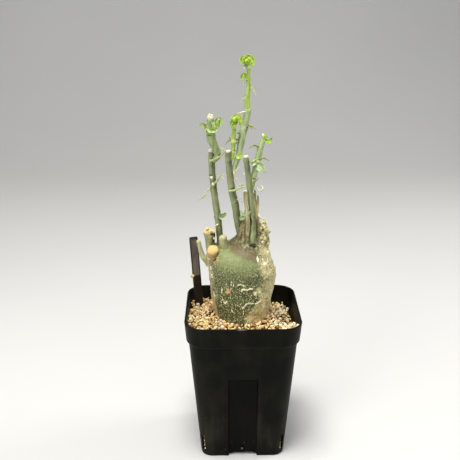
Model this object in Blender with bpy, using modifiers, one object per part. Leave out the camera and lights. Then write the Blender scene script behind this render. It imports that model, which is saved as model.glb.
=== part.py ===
"""Potted caudex plant in a deep square nursery pot, with a pumice dressing and a blank label.

Units are metres, +Z is up, the front of the pot faces -Y and the origin is the middle of the
pot's base. Heights of the plant are measured from the plane of the pot's rim, so the plant
follows the pot when the pot's height changes.
"""

import math

import bmesh
import bpy
from mathutils import Vector, noise

MM = 0.001

# Clearances between neighbouring pieces
GAP = 0.3 * MM
FORK_GAP = 0.6 * MM

# Pot
RIM_WIDTH = 90.0 * MM
POT_HEIGHT = 117.0 * MM
BASE_WIDTH = 66.4 * MM
COLLAR_HEIGHT = 15.8 * MM
COLLAR_TAPER = 1.3 * MM
SHOULDER_STEP = 1.7 * MM
RIM_CORNER = 16.0 * MM
BASE_CORNER = 9.0 * MM
WALL = 1.2 * MM
LIP_ROUND = 0.7 * MM
FLOOR_TOP = 3.2 * MM
CHANNEL_HALF_WIDTH = 10.6 * MM
CHANNEL_SLOPE = 1.0 * MM
CHANNEL_DEPTH = 2.4 * MM
CHANNEL_TOP = 72.0 * MM
ARCH_HEIGHT = 1.5 * MM
ARCH_REACH = 12.0 * MM
SLOT_FOOT = 4.5 * MM
SLOT_HEIGHT = 14.0 * MM
SLOT_WIDTH = 3.2 * MM
DRAIN_RADIUS = 3.0 * MM
DRAIN_SPACING = 30.0 * MM

# Mix and dressing
DRESSING_BASE = -18.7 * MM
EDGE_DROP = 12.0 * MM
FRONT_HEAP = 7.5 * MM
LEFT_HEAP = 4.0 * MM
MOUND_DROP = 2.5 * MM
MOUND_REACH = 16.0 * MM
LUMP = 0.7 * MM

# Caudex: height, centre x and y, half width and half depth of each section, in millimetres
CAUDEX_SECTIONS = (
    (-42.0, -0.5, -2.0, 7.0, 8.0),
    (-34.0, -0.5, -3.0, 13.0, 15.0),
    (-22.0, -0.5, -3.5, 18.0, 23.0),
    (-11.0, -0.8, -4.5, 20.3, 26.5),
    (-4.0, -0.8, -4.5, 21.0, 27.0),
    (5.0, -0.6, -4.0, 22.6, 27.0),
    (14.0, -0.5, -3.5, 24.3, 26.5),
    (23.0, -0.5, -3.0, 25.6, 26.0),
    (31.0, -0.8, -3.0, 26.3, 25.5),
    (39.0, -1.4, -3.0, 26.2, 25.0),
    (45.0, -2.3, -2.5, 25.2, 23.5),
    (50.0, -1.5, -2.0, 21.5, 21.0),
    (54.0, 0.5, -1.5, 17.0, 17.5),
    (57.0, 2.0, -1.0, 12.5, 14.0),
    (60.0, 3.5, -1.0, 9.5, 11.5),
    (64.0, 4.2, -1.0, 8.0, 9.8),
    (69.0, 4.4, -1.5, 7.4, 8.8),
    (73.0, 4.6, -2.0, 6.4, 7.5),
    (75.0, 4.6, -2.0, 3.5, 4.0),
)
CAUDEX_SIDES = 20
CAUDEX_LUMPS = 0.8 * MM
SOCKET_LENGTH = 36.0 * MM
SOCKET_GAP = 0.5 * MM

# Plant label
LABEL_WIDTH = 7.0 * MM
LABEL_THICKNESS = 1.2 * MM
LABEL_TOP = 49.5 * MM
LABEL_LENGTH = 100.0 * MM
LABEL_LEAN = 4.0
LABEL_TURN = 8.0
LABEL_FROM_WALL = 7.5 * MM
LABEL_BACK = 27.0 * MM

LEAF_THICKNESS = 0.6 * MM


def clear_scene():
    for obj in list(bpy.data.objects):
        bpy.data.objects.remove(obj, do_unlink=True)


def new_collection(name):
    collection = bpy.data.collections.new(name)
    bpy.context.scene.collection.children.link(collection)
    return collection


def new_material(name, colour, roughness, metallic=0.0):
    material = bpy.data.materials.new(name)
    material.use_nodes = True
    shader = material.node_tree.nodes["Principled BSDF"]
    shader.inputs["Base Color"].default_value = (*colour, 1.0)
    shader.inputs["Roughness"].default_value = roughness
    shader.inputs["Metallic"].default_value = metallic
    return material


clear_scene()
PLANT = new_collection("potted_caudex_plant")
CUTTERS = new_collection("cutters")
MATERIALS = {
    "pot": new_material("pot_plastic", (0.020, 0.020, 0.018), 0.45),
    "mix": new_material("potting_mix", (0.060, 0.040, 0.025), 0.95),
    "gravel": new_material("pumice", (0.74, 0.60, 0.36), 0.9),
    "skin": new_material("caudex_skin", (0.19, 0.24, 0.12), 0.55),
    "cork": new_material("cork_skin", (0.55, 0.48, 0.28), 0.85),
    "stem": new_material("stem_skin", (0.12, 0.16, 0.08), 0.6),
    "shoot": new_material("shoot_skin", (0.30, 0.42, 0.10), 0.5),
    "dry": new_material("dry_skin", (0.48, 0.42, 0.26), 0.85),
    "leaf": new_material("leaf_blade", (0.36, 0.46, 0.10), 0.5),
    "tendril": new_material("tendril_skin", (0.42, 0.42, 0.22), 0.6),
    "label": new_material("label_plastic", (0.02, 0.014, 0.012), 0.2),
}


def add_mesh(name, mesh, look, collection=PLANT):
    """Link a mesh as an object with its own material."""
    obj = bpy.data.objects.new(name, mesh)
    collection.objects.link(obj)
    if look:
        mesh.materials.append(MATERIALS[look])
    return obj


def make_cutter(obj):
    """Keep an object as a cutter: drawn as wire, left out of the render."""
    for collection in list(obj.users_collection):
        collection.objects.unlink(obj)
    CUTTERS.objects.link(obj)
    obj.hide_render = True
    obj.display_type = "WIRE"
    return obj


def cut(obj, cutter):
    modifier = obj.modifiers.new("cut_" + cutter.name, "BOOLEAN")
    modifier.operation = "DIFFERENCE"
    modifier.solver = "EXACT"
    modifier.object = cutter


def shade(obj, angle=40.0):
    obj.data.shade_smooth()
    obj.data.set_sharp_from_angle(angle=math.radians(angle))


def loft(name, rings, look, collection=PLANT):
    """Close a stack of rings with equal point counts into one solid, capped at both ends."""
    mesh = bpy.data.meshes.new(name)
    bm = bmesh.new()
    rows = [[bm.verts.new(point) for point in ring] for ring in rings]
    count = len(rows[0])
    for low, high in zip(rows, rows[1:]):
        for i in range(count):
            j = (i + 1) % count
            bm.faces.new((low[i], low[j], high[j], high[i]))
    bm.faces.new(list(reversed(rows[0])))
    bm.faces.new(rows[-1])
    bmesh.ops.recalc_face_normals(bm, faces=bm.faces)
    bm.to_mesh(mesh)
    bm.free()
    return add_mesh(name, mesh, look, collection)


# --- Pot ---------------------------------------------------------------------------------


def square_ring(half, corner, z, channel=0.0, extra=0.0, corner_steps=5):
    """Rounded square outline; `channel` is how deep the notch in each side's middle is.

    `extra` widens the notch, which keeps the wall even when the same outline is moved inward.
    """
    points = []
    wide = CHANNEL_HALF_WIDTH + extra
    for side in range(4):
        turn = side * math.pi / 2
        local = [
            Vector((-wide - CHANNEL_SLOPE, -half, z)),
            Vector((-wide, -half + channel, z)),
            Vector((wide, -half + channel, z)),
            Vector((wide + CHANNEL_SLOPE, -half, z)),
        ]
        for step in range(corner_steps + 1):
            angle = -math.pi / 2 + step / corner_steps * math.pi / 2
            centre = half - corner
            local.append(Vector((centre + corner * math.cos(angle), -centre + corner * math.sin(angle), z)))
        for point in local:
            x = point.x * math.cos(turn) - point.y * math.sin(turn)
            y = point.x * math.sin(turn) + point.y * math.cos(turn)
            points.append(Vector((x, y, z)))
    return points


COLLAR_FOOT = POT_HEIGHT - COLLAR_HEIGHT
COLLAR_FOOT_WIDTH = RIM_WIDTH - 2 * COLLAR_TAPER
SHOULDER_WIDTH = COLLAR_FOOT_WIDTH - 2 * SHOULDER_STEP


def body_half(z):
    """Half width of the tapered body below the collar."""
    share = z / COLLAR_FOOT
    return (BASE_WIDTH + (SHOULDER_WIDTH - BASE_WIDTH) * share) / 2


def body_corner(z):
    return BASE_CORNER + (RIM_CORNER - 1.5 * MM - BASE_CORNER) * z / COLLAR_FOOT


def collar_half(z):
    """Half width of the collar band."""
    share = (z - COLLAR_FOOT) / COLLAR_HEIGHT
    return (COLLAR_FOOT_WIDTH + (RIM_WIDTH - COLLAR_FOOT_WIDTH) * share) / 2


def build_pot():
    step = CHANNEL_SLOPE / 2
    foot = COLLAR_FOOT
    rim = POT_HEIGHT
    ledge = foot + WALL
    rings = [
        square_ring(body_half(0), body_corner(0), 0, CHANNEL_DEPTH),
        square_ring(body_half(CHANNEL_TOP - step), body_corner(CHANNEL_TOP), CHANNEL_TOP - step, CHANNEL_DEPTH),
        square_ring(body_half(CHANNEL_TOP + step), body_corner(CHANNEL_TOP), CHANNEL_TOP + step),
        square_ring(body_half(foot - WALL / 2), body_corner(foot), foot - WALL / 2),
        square_ring(collar_half(foot) - LIP_ROUND / 2, RIM_CORNER - LIP_ROUND, foot),
        square_ring(collar_half(foot + LIP_ROUND), RIM_CORNER, foot + LIP_ROUND),
        square_ring(collar_half(rim - LIP_ROUND), RIM_CORNER, rim - LIP_ROUND),
        square_ring(collar_half(rim) - LIP_ROUND / 2, RIM_CORNER - LIP_ROUND / 2, rim),
        square_ring(collar_half(rim) - WALL, RIM_CORNER - WALL, rim),
        square_ring(collar_half(rim) - WALL - LIP_ROUND / 2, RIM_CORNER - WALL, rim - LIP_ROUND),
        square_ring(collar_half(ledge) - WALL, RIM_CORNER - WALL, ledge),
        square_ring(body_half(foot) - WALL, body_corner(foot) - WALL, foot - WALL / 2),
        square_ring(body_half(CHANNEL_TOP + step) - WALL, body_corner(CHANNEL_TOP) - WALL, CHANNEL_TOP + step + WALL),
        square_ring(
            body_half(CHANNEL_TOP) - WALL, body_corner(CHANNEL_TOP) - WALL, CHANNEL_TOP - step + WALL, CHANNEL_DEPTH, WALL
        ),
        square_ring(body_half(FLOOR_TOP) - WALL, body_corner(0) - WALL, FLOOR_TOP, CHANNEL_DEPTH, WALL),
    ]
    pot = loft("pot", rings, "pot")
    shade(pot, 25.0)
    half = body_half(0)
    for i in range(4):
        angle = i * math.pi / 2
        reach = half - ARCH_REACH / 2 + GAP
        bpy.ops.mesh.primitive_cube_add(size=1.0)
        arch = make_cutter(bpy.context.object)
        arch.name = f"arch_cutter_{i}"
        arch.scale = (2 * CHANNEL_HALF_WIDTH, ARCH_REACH, 2 * ARCH_HEIGHT)
        arch.location = (reach * math.sin(angle), -reach * math.cos(angle), 0)
        arch.rotation_euler = (0, 0, angle)
        cut(pot, arch)
        diagonal = angle + math.pi / 4
        corner_reach = math.sqrt(2) * (half - body_corner(0)) + body_corner(0)
        bpy.ops.mesh.primitive_cube_add(size=1.0)
        slot = make_cutter(bpy.context.object)
        slot.name = f"slot_cutter_{i}"
        slot.scale = (8 * WALL, SLOT_WIDTH, SLOT_HEIGHT)
        slot.location = (
            corner_reach * math.cos(diagonal),
            corner_reach * math.sin(diagonal),
            SLOT_FOOT + SLOT_HEIGHT / 2,
        )
        slot.rotation_euler = (0, 0, diagonal)
        cut(pot, slot)
        bpy.ops.mesh.primitive_cylinder_add(vertices=20, radius=DRAIN_RADIUS, depth=4 * FLOOR_TOP)
        drain = make_cutter(bpy.context.object)
        drain.name = f"drain_cutter_{i}"
        drain_reach = DRAIN_SPACING / math.sqrt(2)
        drain.location = (drain_reach * math.cos(diagonal), drain_reach * math.sin(diagonal), 0)
        cut(pot, drain)
    return pot


# --- Caudex ------------------------------------------------------------------------------


def caudex_rings(offset):
    """Sections of the caudex, from the buried tip up to the top of the woody neck."""
    rings = []
    last = len(CAUDEX_SECTIONS) - 1
    for index, (height, cx, cy, rx, ry) in enumerate(CAUDEX_SECTIONS):
        z = POT_HEIGHT + height * MM
        if index == 0:
            z -= offset
        if index == last:
            z += offset
        ring = []
        for side in range(CAUDEX_SIDES):
            angle = 2 * math.pi * side / CAUDEX_SIDES
            x = cx * MM + (rx * MM + offset) * math.cos(angle)
            y = cy * MM + (ry * MM + offset) * math.sin(angle)
            ring.append(Vector((x, y, z)))
        rings.append(ring)
    return rings


def soften(obj):
    modifier = obj.modifiers.new("soften", "SUBSURF")
    modifier.levels = 1
    modifier.render_levels = 1


def build_caudex():
    caudex = loft("caudex", caudex_rings(0.0), "skin")
    soften(caudex)
    grain = bpy.data.textures.new("caudex_lumps", "CLOUDS")
    grain.noise_scale = 9.0 * MM
    lumps = caudex.modifiers.new("lumps", "DISPLACE")
    lumps.texture = grain
    lumps.strength = 2 * CAUDEX_LUMPS
    lumps.mid_level = 0.5
    shade(caudex)
    return caudex


def build_caudex_cutter():
    cutter = loft("caudex_cutter", caudex_rings(CAUDEX_LUMPS + GAP), None, CUTTERS)
    soften(cutter)
    return make_cutter(cutter)


# --- Mix, dressing and label -------------------------------------------------------------


def inner_half(z):
    """Half width of the room inside the pot at a height."""
    if z <= COLLAR_FOOT:
        return body_half(z) - WALL
    share = min(1.0, (z - COLLAR_FOOT) / (2 * WALL))
    low = body_half(COLLAR_FOOT) - WALL
    high = collar_half(max(z, COLLAR_FOOT + WALL)) - WALL - LIP_ROUND / 2
    return low + (high - low) * share


def build_substrate(cutters):
    top = POT_HEIGHT + DRESSING_BASE - GAP
    step = CHANNEL_SLOPE / 2
    rings = []
    for z, channel in (
        (FLOOR_TOP + GAP, CHANNEL_DEPTH),
        (CHANNEL_TOP + step + WALL + GAP, CHANNEL_DEPTH),
        (CHANNEL_TOP + 2 * step + WALL + GAP, 0.0),
        (top, 0.0),
    ):
        half = inner_half(z) - 1.5 * GAP
        rings.append(square_ring(half, body_corner(z) - WALL, z, channel, WALL + GAP))
    mix = loft("substrate", rings, "mix")
    for cutter in cutters:
        cut(mix, cutter)
    return mix


def smooth_step(value):
    value = min(1.0, max(0.0, value))
    return value * value * (3.0 - 2.0 * value)


def dressing_height(x, y):
    """Height of the heaped pumice: full at the front rim, low at the back, up against the caudex."""
    edge = POT_HEIGHT - EDGE_DROP
    edge += FRONT_HEAP * smooth_step((-y - 8 * MM) / (26 * MM))
    edge += LEFT_HEAP * smooth_step(-x / (38 * MM)) * smooth_step((26 * MM - y) / (40 * MM))
    top = POT_HEIGHT - MOUND_DROP
    section = CAUDEX_SECTIONS[4]
    dx = x - section[1] * MM
    dy = y - section[2] * MM
    away = math.hypot(dx, dy) * (1 - 1 / max(1.0, math.hypot(dx / section[3], dy / section[4]) / MM))
    near = smooth_step(1 - away / MOUND_REACH)
    height = edge + (top - edge) * near if top > edge else edge
    lump = noise.noise(Vector((x, y, 0.0)) / (4.5 * MM)) * LUMP
    return min(height + lump, POT_HEIGHT - 1.2 * MM)


def build_dressing(cutters):
    low = POT_HEIGHT + DRESSING_BASE
    ledge = COLLAR_FOOT + 2.2 * WALL
    shrink = 1.5 * GAP
    rings = [
        square_ring(inner_half(low) - shrink, body_corner(low) - WALL, low),
        square_ring(inner_half(COLLAR_FOOT - WALL) - shrink, body_corner(COLLAR_FOOT) - WALL, COLLAR_FOOT - WALL),
        square_ring(inner_half(ledge) - 2 * shrink, RIM_CORNER - WALL - shrink, ledge),
    ]
    outline = rings[-1]
    for share in (1.0, 0.955, 0.9, 0.83, 0.76, 0.68, 0.6, 0.5, 0.4, 0.25, 0.12):
        ring = []
        for point in outline:
            x = point.x * share
            y = point.y * share
            ring.append(Vector((x, y, dressing_height(x, y))))
        rings.append(ring)
    gravel = loft("gravel_dressing", rings, "gravel")
    for cutter in cutters:
        cut(gravel, cutter)
    return gravel


def label_block(name, grow, look):
    bpy.ops.mesh.primitive_cube_add(size=1.0)
    block = bpy.context.object
    block.name = name
    size = (LABEL_WIDTH + 2 * grow, LABEL_THICKNESS + 2 * grow, LABEL_LENGTH + 2 * grow)
    for vertex in block.data.vertices:
        vertex.co = Vector(a * b for a, b in zip(vertex.co, size))
    middle = POT_HEIGHT + LABEL_TOP - LABEL_LENGTH / 2
    across = -(inner_half(middle) - LABEL_FROM_WALL)
    block.location = (across, LABEL_BACK, middle)
    block.rotation_euler = (0, math.radians(-LABEL_LEAN), math.radians(LABEL_TURN))
    for collection in list(block.users_collection):
        collection.objects.unlink(block)
    PLANT.objects.link(block)
    if look:
        block.data.materials.append(MATERIALS[look])
    return block


def build_label():
    label = label_block("plant_label", 0.0, "label")
    bevel = label.modifiers.new("round", "BEVEL")
    bevel.width = 0.3 * MM
    bevel.segments = 1
    return label


# --- Stems, twigs and tendrils -----------------------------------------------------------


def at(x, y, height):
    """A point of the plant, in millimetres, with its height above the rim plane."""
    return Vector((x * MM, y * MM, POT_HEIGHT + height * MM))


def smooth_path(points, spacing):
    """Even points along the Catmull-Rom curve through the given ones."""
    ends = [2 * points[0] - points[1]] + list(points) + [2 * points[-1] - points[-2]]
    path = [points[0].copy()]
    for a, b, c, d in zip(ends, ends[1:], ends[2:], ends[3:]):
        steps = max(1, round((c - b).length / spacing))
        for step in range(1, steps + 1):
            t = step / steps
            path.append(
                0.5 * ((2 * b) + (c - a) * t + (2 * a - 5 * b + 4 * c - d) * t**2 + (3 * b - a - 3 * c + d) * t**3)
            )
    return path


def tube(name, path, radii, look, sides=3):
    """A round tube along a path; `radii` are spread evenly over its length."""
    curve = bpy.data.curves.new(name, "CURVE")
    curve.dimensions = "3D"
    curve.bevel_depth = 1.0
    curve.bevel_resolution = sides
    curve.use_fill_caps = True
    spline = curve.splines.new("POLY")
    spline.points.add(len(path) - 1)
    for index, point in enumerate(path):
        share = index / (len(path) - 1) * (len(radii) - 1)
        low = min(int(share), len(radii) - 2)
        radius = radii[low] + (radii[low + 1] - radii[low]) * (share - low)
        spline.points[index].co = (*point, 1.0)
        spline.points[index].radius = radius
    if look:
        curve.materials.append(MATERIALS[look])
    obj = bpy.data.objects.new(name, curve)
    PLANT.objects.link(obj)
    return obj


def curve_to_mesh(obj):
    """Swap a curve for a mesh with its caps welded on."""
    evaluated = obj.evaluated_get(bpy.context.evaluated_depsgraph_get())
    mesh = bpy.data.meshes.new_from_object(evaluated)
    bm = bmesh.new()
    bm.from_mesh(mesh)
    bmesh.ops.remove_doubles(bm, verts=bm.verts, dist=0.00001)
    bmesh.ops.recalc_face_normals(bm, faces=bm.faces)
    bm.to_mesh(mesh)
    bm.free()
    name = obj.name
    matrix = obj.matrix_world.copy()
    bpy.data.objects.remove(obj, do_unlink=True)
    solid = bpy.data.objects.new(name, mesh)
    solid.matrix_world = matrix
    PLANT.objects.link(solid)
    return solid


PATHS = {}


def stem(name, points, radii, look, spacing=4.0 * MM, sides=3):
    path = smooth_path([at(*point) for point in points], spacing)
    PATHS[name] = (path, radii)
    return tube(name, path, radii, look, sides)


def rooted(name, points, radii, look, caudex, sides=3):
    """A stem or stub that grows out of the caudex, with a socket around its foot."""
    piece = stem(name, points, radii, look, sides=sides)
    path = PATHS[name][0]
    direction = (path[1] - path[0]).normalized()
    foot = [path[0] - direction * SOCKET_GAP]
    length = 0.0
    for a, b in zip(path, path[1:]):
        if length < SOCKET_LENGTH:
            foot.append(b)
        length += (b - a).length
    widest = max(radii[: max(2, len(radii) // 2)])
    bpy.context.view_layer.update()
    cutter = make_cutter(curve_to_mesh(tube("socket_" + name, foot, (widest + SOCKET_GAP, widest + SOCKET_GAP), None, sides + 1)))
    cut(caudex, cutter)
    return piece


def on_stem(parent, height, heading):
    """Where a side shoot starts, clear of its parent, and the way it points.

    `heading` is in degrees seen from above: 0 is right (+X) and -90 is the front (-Y).
    """
    path, radii = PATHS[parent]
    z = POT_HEIGHT + height * MM
    index = min(range(len(path) - 1), key=lambda i: abs((path[i].z + path[i + 1].z) / 2 - z))
    low, high = path[index], path[index + 1]
    share = min(1.0, max(0.0, (z - low.z) / (high.z - low.z)))
    middle = low.lerp(high, share)
    radius = max(radii)
    way = Vector((math.cos(math.radians(heading)), math.sin(math.radians(heading)), 0.0))
    return middle + way * (radius + FORK_GAP), way


def branch(name, parent, height, heading, points, radii, look, spacing=4.0 * MM, sides=3):
    """A stem that leaves its parent square to it and then takes its own way."""
    start, way = on_stem(parent, height, heading)
    path = smooth_path([start, start + way * radii[0]] + [at(*point) for point in points], spacing)
    PATHS[name] = (path, radii)
    return tube(name, path, radii, look, sides)


def tendril(name, parent, height, heading, points, radius=0.5 * MM):
    return branch(name, parent, height, heading, points, (radius, 0.6 * radius), "tendril", 2.5 * MM, 1)


def leaf(name, points, width, look="leaf", facing=(0.0, -1.0, 0.3), base_width=0.5 * MM):
    """A thin blade along a midrib, widest a little before the middle, narrow at both ends."""
    path = smooth_path([at(*point) for point in points], 1.6 * MM)
    mesh = bpy.data.meshes.new(name)
    bm = bmesh.new()
    rows = []
    normal = Vector(facing).normalized()
    for index, point in enumerate(path):
        share = index / (len(path) - 1)
        ahead = path[min(index + 1, len(path) - 1)] - path[max(index - 1, 0)]
        side = ahead.cross(normal).normalized()
        half = max(base_width, width / 2 * math.sin(math.pi * share**0.8) ** 0.8) if 0 < share < 1 else base_width
        lift = normal * half * 0.25
        rows.append(
            [bm.verts.new(point - side * half + lift), bm.verts.new(point), bm.verts.new(point + side * half + lift)]
        )
    for low, high in zip(rows, rows[1:]):
        for i in range(2):
            bm.faces.new((low[i], low[i + 1], high[i + 1], high[i]))
    bm.to_mesh(mesh)
    bm.free()
    blade = add_mesh(name, mesh, look)
    thick = blade.modifiers.new("thick", "SOLIDIFY")
    thick.thickness = LEAF_THICKNESS
    thick.offset = 0.0
    return blade


def build_plant(caudex):
    # Left shoulder
    rooted("stub_outer_left", [(-25.5, 1, 35), (-30, 0.5, 40.5), (-34, 0, 54)], (1.8 * MM, 1.5 * MM), "cork", caudex)
    rooted(
        "stub_cut_left",
        [(-22.5, -4, 38), (-24.3, -4, 47), (-26, -4, 64)],
        (3.3 * MM, 3.5 * MM, 3.8 * MM),
        "cork",
        caudex,
    )
    rooted(
        "stub_cut_front",
        [(-19, -11, 38), (-21.5, -14, 46), (-23, -17.5, 52)],
        (3.6 * MM, 3.8 * MM, 3.8 * MM),
        "stem",
        caudex,
    )
    rooted(
        "stub_blunt",
        [(-13, -6.5, 40), (-14.5, -8.5, 50), (-15.2, -9, 61)],
        (3.2 * MM, 3.0 * MM, 2.7 * MM),
        "stem",
        caudex,
    )
    rooted(
        "stem_left",
        [(-16, 1, 42), (-16.8, 1, 50), (-18.5, 0.5, 71), (-20.7, 2, 87), (-22.3, 3, 101), (-23.2, 3, 112), (-23.4, 3, 124)],
        (2.6 * MM, 2.5 * MM, 2.6 * MM, 2.4 * MM, 2.4 * MM),
        "stem",
        caudex,
    )
    # Neck
    rooted(
        "stem_front",
        [(1.5, -5.5, 52), (-1.0, -7.5, 61), (-4.1, -8, 74), (-6, -8, 82), (-8.1, -7, 97), (-9.9, -6, 112), (-11.3, -6, 126.5)],
        (2.6 * MM, 2.7 * MM, 2.8 * MM, 2.5 * MM, 2.3 * MM),
        "stem",
        caudex,
    )
    rooted(
        "stem_centre",
        [(7, -11, 46), (7.3, -12.5, 54), (7.8, -10.5, 66.5), (7.3, -8, 78), (6.1, -6.5, 89), (4.4, -5, 104), (2.1, -5, 122)],
        (2.2 * MM, 2.5 * MM, 2.4 * MM, 2.2 * MM, 2.1 * MM),
        "stem",
        caudex,
    )
    rooted(
        "stub_tan",
        [(3.2, -10, 56), (3.4, -12.3, 66), (3.2, -12, 74), (2.6, -11, 83), (1.6, -9.5, 97)],
        (1.5 * MM, 1.5 * MM, 1.5 * MM),
        "dry",
        caudex,
    )
    rooted(
        "stump_right",
        [(15.5, -2.5, 42), (16.4, -2.5, 52), (17.2, -2, 62), (16.8, -2.2, 69.5)],
        (5.0 * MM, 4.6 * MM, 4.0 * MM),
        "cork",
        caudex,
    )
    rooted(
        "twig_dry_a",
        [(8.5, -3, 52), (10.8, -4.5, 62), (10.9, -4.2, 72), (10.6, -3, 80), (9.2, -2, 88), (8.7, -2, 96)],
        (1.5 * MM, 1.5 * MM, 1.1 * MM, 0.9 * MM),
        "dry",
        caudex,
        sides=2,
    )
    # Branches
    branch("twig_dry_b", "twig_dry_a", 81, 60, [(12.6, -1.2, 86), (12.0, -1, 91.6)], (0.9 * MM, 0.8 * MM), "dry", sides=2)
    branch(
        "shoot_left",
        "stem_left",
        118,
        -45,
        [(-18.9, -1.6, 123), (-20.8, -1.6, 128), (-22.9, -2, 134), (-24.1, -3, 141), (-23.8, -4, 151.5)],
        (2.4 * MM, 3.2 * MM, 3.2 * MM, 2.6 * MM, 2.3 * MM),
        "shoot",
    )
    branch(
        "stem_tall",
        "stem_front",
        109,
        25,
        [(-4.6, -4, 117), (-3.4, -3, 122), (-1.8, -1.5, 128), (0.3, 0, 139), (2.2, 1.5, 148.3), (3.6, 2, 155.6)],
        (1.6 * MM, 1.8 * MM, 2.3 * MM, 2.6 * MM, 2.2 * MM),
        "shoot",
    )
    branch(
        "shoot_small",
        "stem_front",
        119,
        -10,
        [(-6.9, -6.3, 126), (-7.1, -6, 134.5), (-6.8, -5.5, 142), (-6.5, -5.5, 146.4)],
        (1.3 * MM, 1.6 * MM, 1.4 * MM, 1.5 * MM),
        "shoot",
    )
    branch(
        "stem_right",
        "stem_centre",
        101,
        20,
        [(9.7, -2.6, 108), (11, 0, 118.5), (12.8, 1, 126), (15, 2, 133), (16.1, 2, 137)],
        (1.9 * MM, 2.2 * MM, 2.2 * MM, 2.0 * MM, 1.8 * MM),
        "shoot",
    )
    stem(
        "shoot_tip",
        [(3.6, 2, 157), (3.1, 2, 164.4), (3.7, 2, 173.8), (3.9, 2, 183), (3.0, 2, 188.7)],
        (1.7 * MM, 1.5 * MM, 1.3 * MM, 1.4 * MM),
        "shoot",
        sides=2,
    )
    # Leaves
    leaf("leaf_broad_right", [(12.6, -3.2, 115.6), (14.2, -4.5, 113.2), (16.8, -6, 110.6)], 4.6 * MM)
    leaf("leaf_curled_right", [(18.6, 1, 132.2), (20.0, 0, 132.2), (21.0, -1, 133.8), (21.6, -2, 135.6)], 2.4 * MM)
    leaf("leaf_heart_left", [(-15.0, -3.2, 76), (-13.4, -4.5, 74.8), (-11.6, -5, 78)], 4.0 * MM)
    leaf("leaf_curled_left", [(-20.2, -4, 144.8), (-18.6, -3, 149.8), (-16.6, -3, 149.2)], 3.0 * MM)
    leaf("leaf_small_left", [(-27.6, -4.4, 144.2), (-29.2, -5, 146.2), (-31.7, -6, 145.6)], 2.4 * MM)
    leaf("leaf_lime_left", [(-8.0, -6, 147.2), (-7.6, -6, 151.2), (-5.6, -6, 152.2)], 2.6 * MM)
    leaf("leaf_lime_right", [(-4.4, -6, 147.6), (-2.8, -6, 149.8), (-1.8, -7, 145.6)], 2.8 * MM)
    leaf("leaf_tip_left", [(0.8, 1.2, 188), (-0.8, 1, 191), (0.2, 1, 194.4)], 3.0 * MM)
    leaf("leaf_tip_right", [(5.4, 1.2, 189.4), (7.2, 1, 191.4), (7.4, 0, 187.4)], 3.2 * MM)
    leaf("leaf_tip_top", [(2.6, 1.6, 190.6), (2.4, 1.5, 195)], 3.2 * MM)
    leaf("leaf_tip_low", [(0.8, 1, 185.6), (-1.6, 0, 186.6)], 2.0 * MM)
    leaf("leaf_side_tip", [(1.4, 0.8, 177.6), (0.2, 0, 180.4), (-1.2, 0, 178)], 2.4 * MM)
    # Tendrils and thorns
    tendril("tendril_left", "stem_left", 93, 200, [(-26.2, -1, 96), (-29.5, -3, 91.5), (-33.6, -5, 89)])
    tendril("thorn_left_node", "stem_left", 99, -45, [(-18.6, -2, 103), (-17.6, -3, 106.2)], 0.8 * MM)
    tendril("tendril_left_arc", "stem_left", 104, 0, [(-17.8, 2.2, 107), (-14.2, 0, 106.4)])
    tendril("tendril_left_cross", "stem_left", 116, -120, [(-22, -5, 119.5), (-16.5, -6.5, 122.5), (-14.8, -9.4, 126.5)], 0.7 * MM)
    tendril("spine_left_foot", "stem_left", 68.5, -100, [(-20.6, -4, 67.8), (-22.6, -5, 66.4)], 0.6 * MM)
    tendril("tendril_front_bundle", "stem_front", 97, -60, [(-4.6, -12.5, 98.5), (-2.4, -13, 100), (2.1, -12.6, 100)], 0.6 * MM)
    tendril("tendril_front_fork", "stem_front", 107, -35, [(-4.5, -8.5, 111.5), (-2, -8.5, 115)])
    tendril("thorn_small_shoot", "shoot_small", 134.5, 190, [(-11, -6.5, 134), (-13.1, -8, 131.7)], 0.6 * MM)
    tendril("tendril_small_curl", "shoot_small", 135, 10, [(-3.4, -4.4, 135.4), (-2.6, -4, 138)], 0.4 * MM)
    tendril("tendril_knee", "shoot_tip", 171, -10, [(7.2, 1.2, 171.2), (9.1, -1, 166.2)], 0.4 * MM)
    tendril("thorn_tip_left", "shoot_tip", 163.7, 200, [(-0.8, 0.4, 163.5), (-2.2, -1, 160)], 0.4 * MM)
    tendril("thorn_tall_left", "stem_tall", 154, 200, [(-2, -1.5, 154.2), (-4.6, -3, 153.8)], 0.6 * MM)
    tendril("thorn_tall_right", "stem_tall", 145.5, -30, [(6.4, -1.5, 144), (8.7, -3, 142.3)], 0.7 * MM)
    tendril("tendril_right_long", "stem_right", 118.5, 215, [(7.4, -4, 118.2), (5.3, -8.2, 118), (4.0, -8.6, 121.5)], 0.6 * MM)
    tendril("tendril_right_out", "stem_right", 118.5, -10, [(16.6, 0, 119.6), (19.6, -1, 118.3)], 0.7 * MM)
    tendril("thorn_right_left", "stem_right", 127.5, 210, [(8.6, -2.4, 129.8), (4.3, -4, 128.4)], 0.7 * MM)
    stem("tendril_stump", [(14.0, -8.6, 75), (16.4, -8.6, 74.3), (17.9, -9, 71.9)], (0.6 * MM, 0.4 * MM), "tendril", 2.0 * MM, 1)


build_pot()
CAUDEX = build_caudex()
CAUDEX_CUTTER = build_caudex_cutter()
build_label()
LABEL_CUTTER = make_cutter(label_block("label_cutter", GAP, None))
build_substrate([CAUDEX_CUTTER, LABEL_CUTTER])
build_dressing([CAUDEX_CUTTER, LABEL_CUTTER])
build_plant(CAUDEX)
bpy.context.view_layer.update()
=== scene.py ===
# %% [markdown]
# # A potted caudex plant
#
# The plant is a swollen, warty base with a few old cut stems and fresh shoots, in a deep black
# nursery pot dressed with pumice. The packed model is the frame: it fixes sizes and places, and
# the pieces made below take over from its plain solids.

# %% The frame and the units
import math
from itertools import count, product

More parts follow.
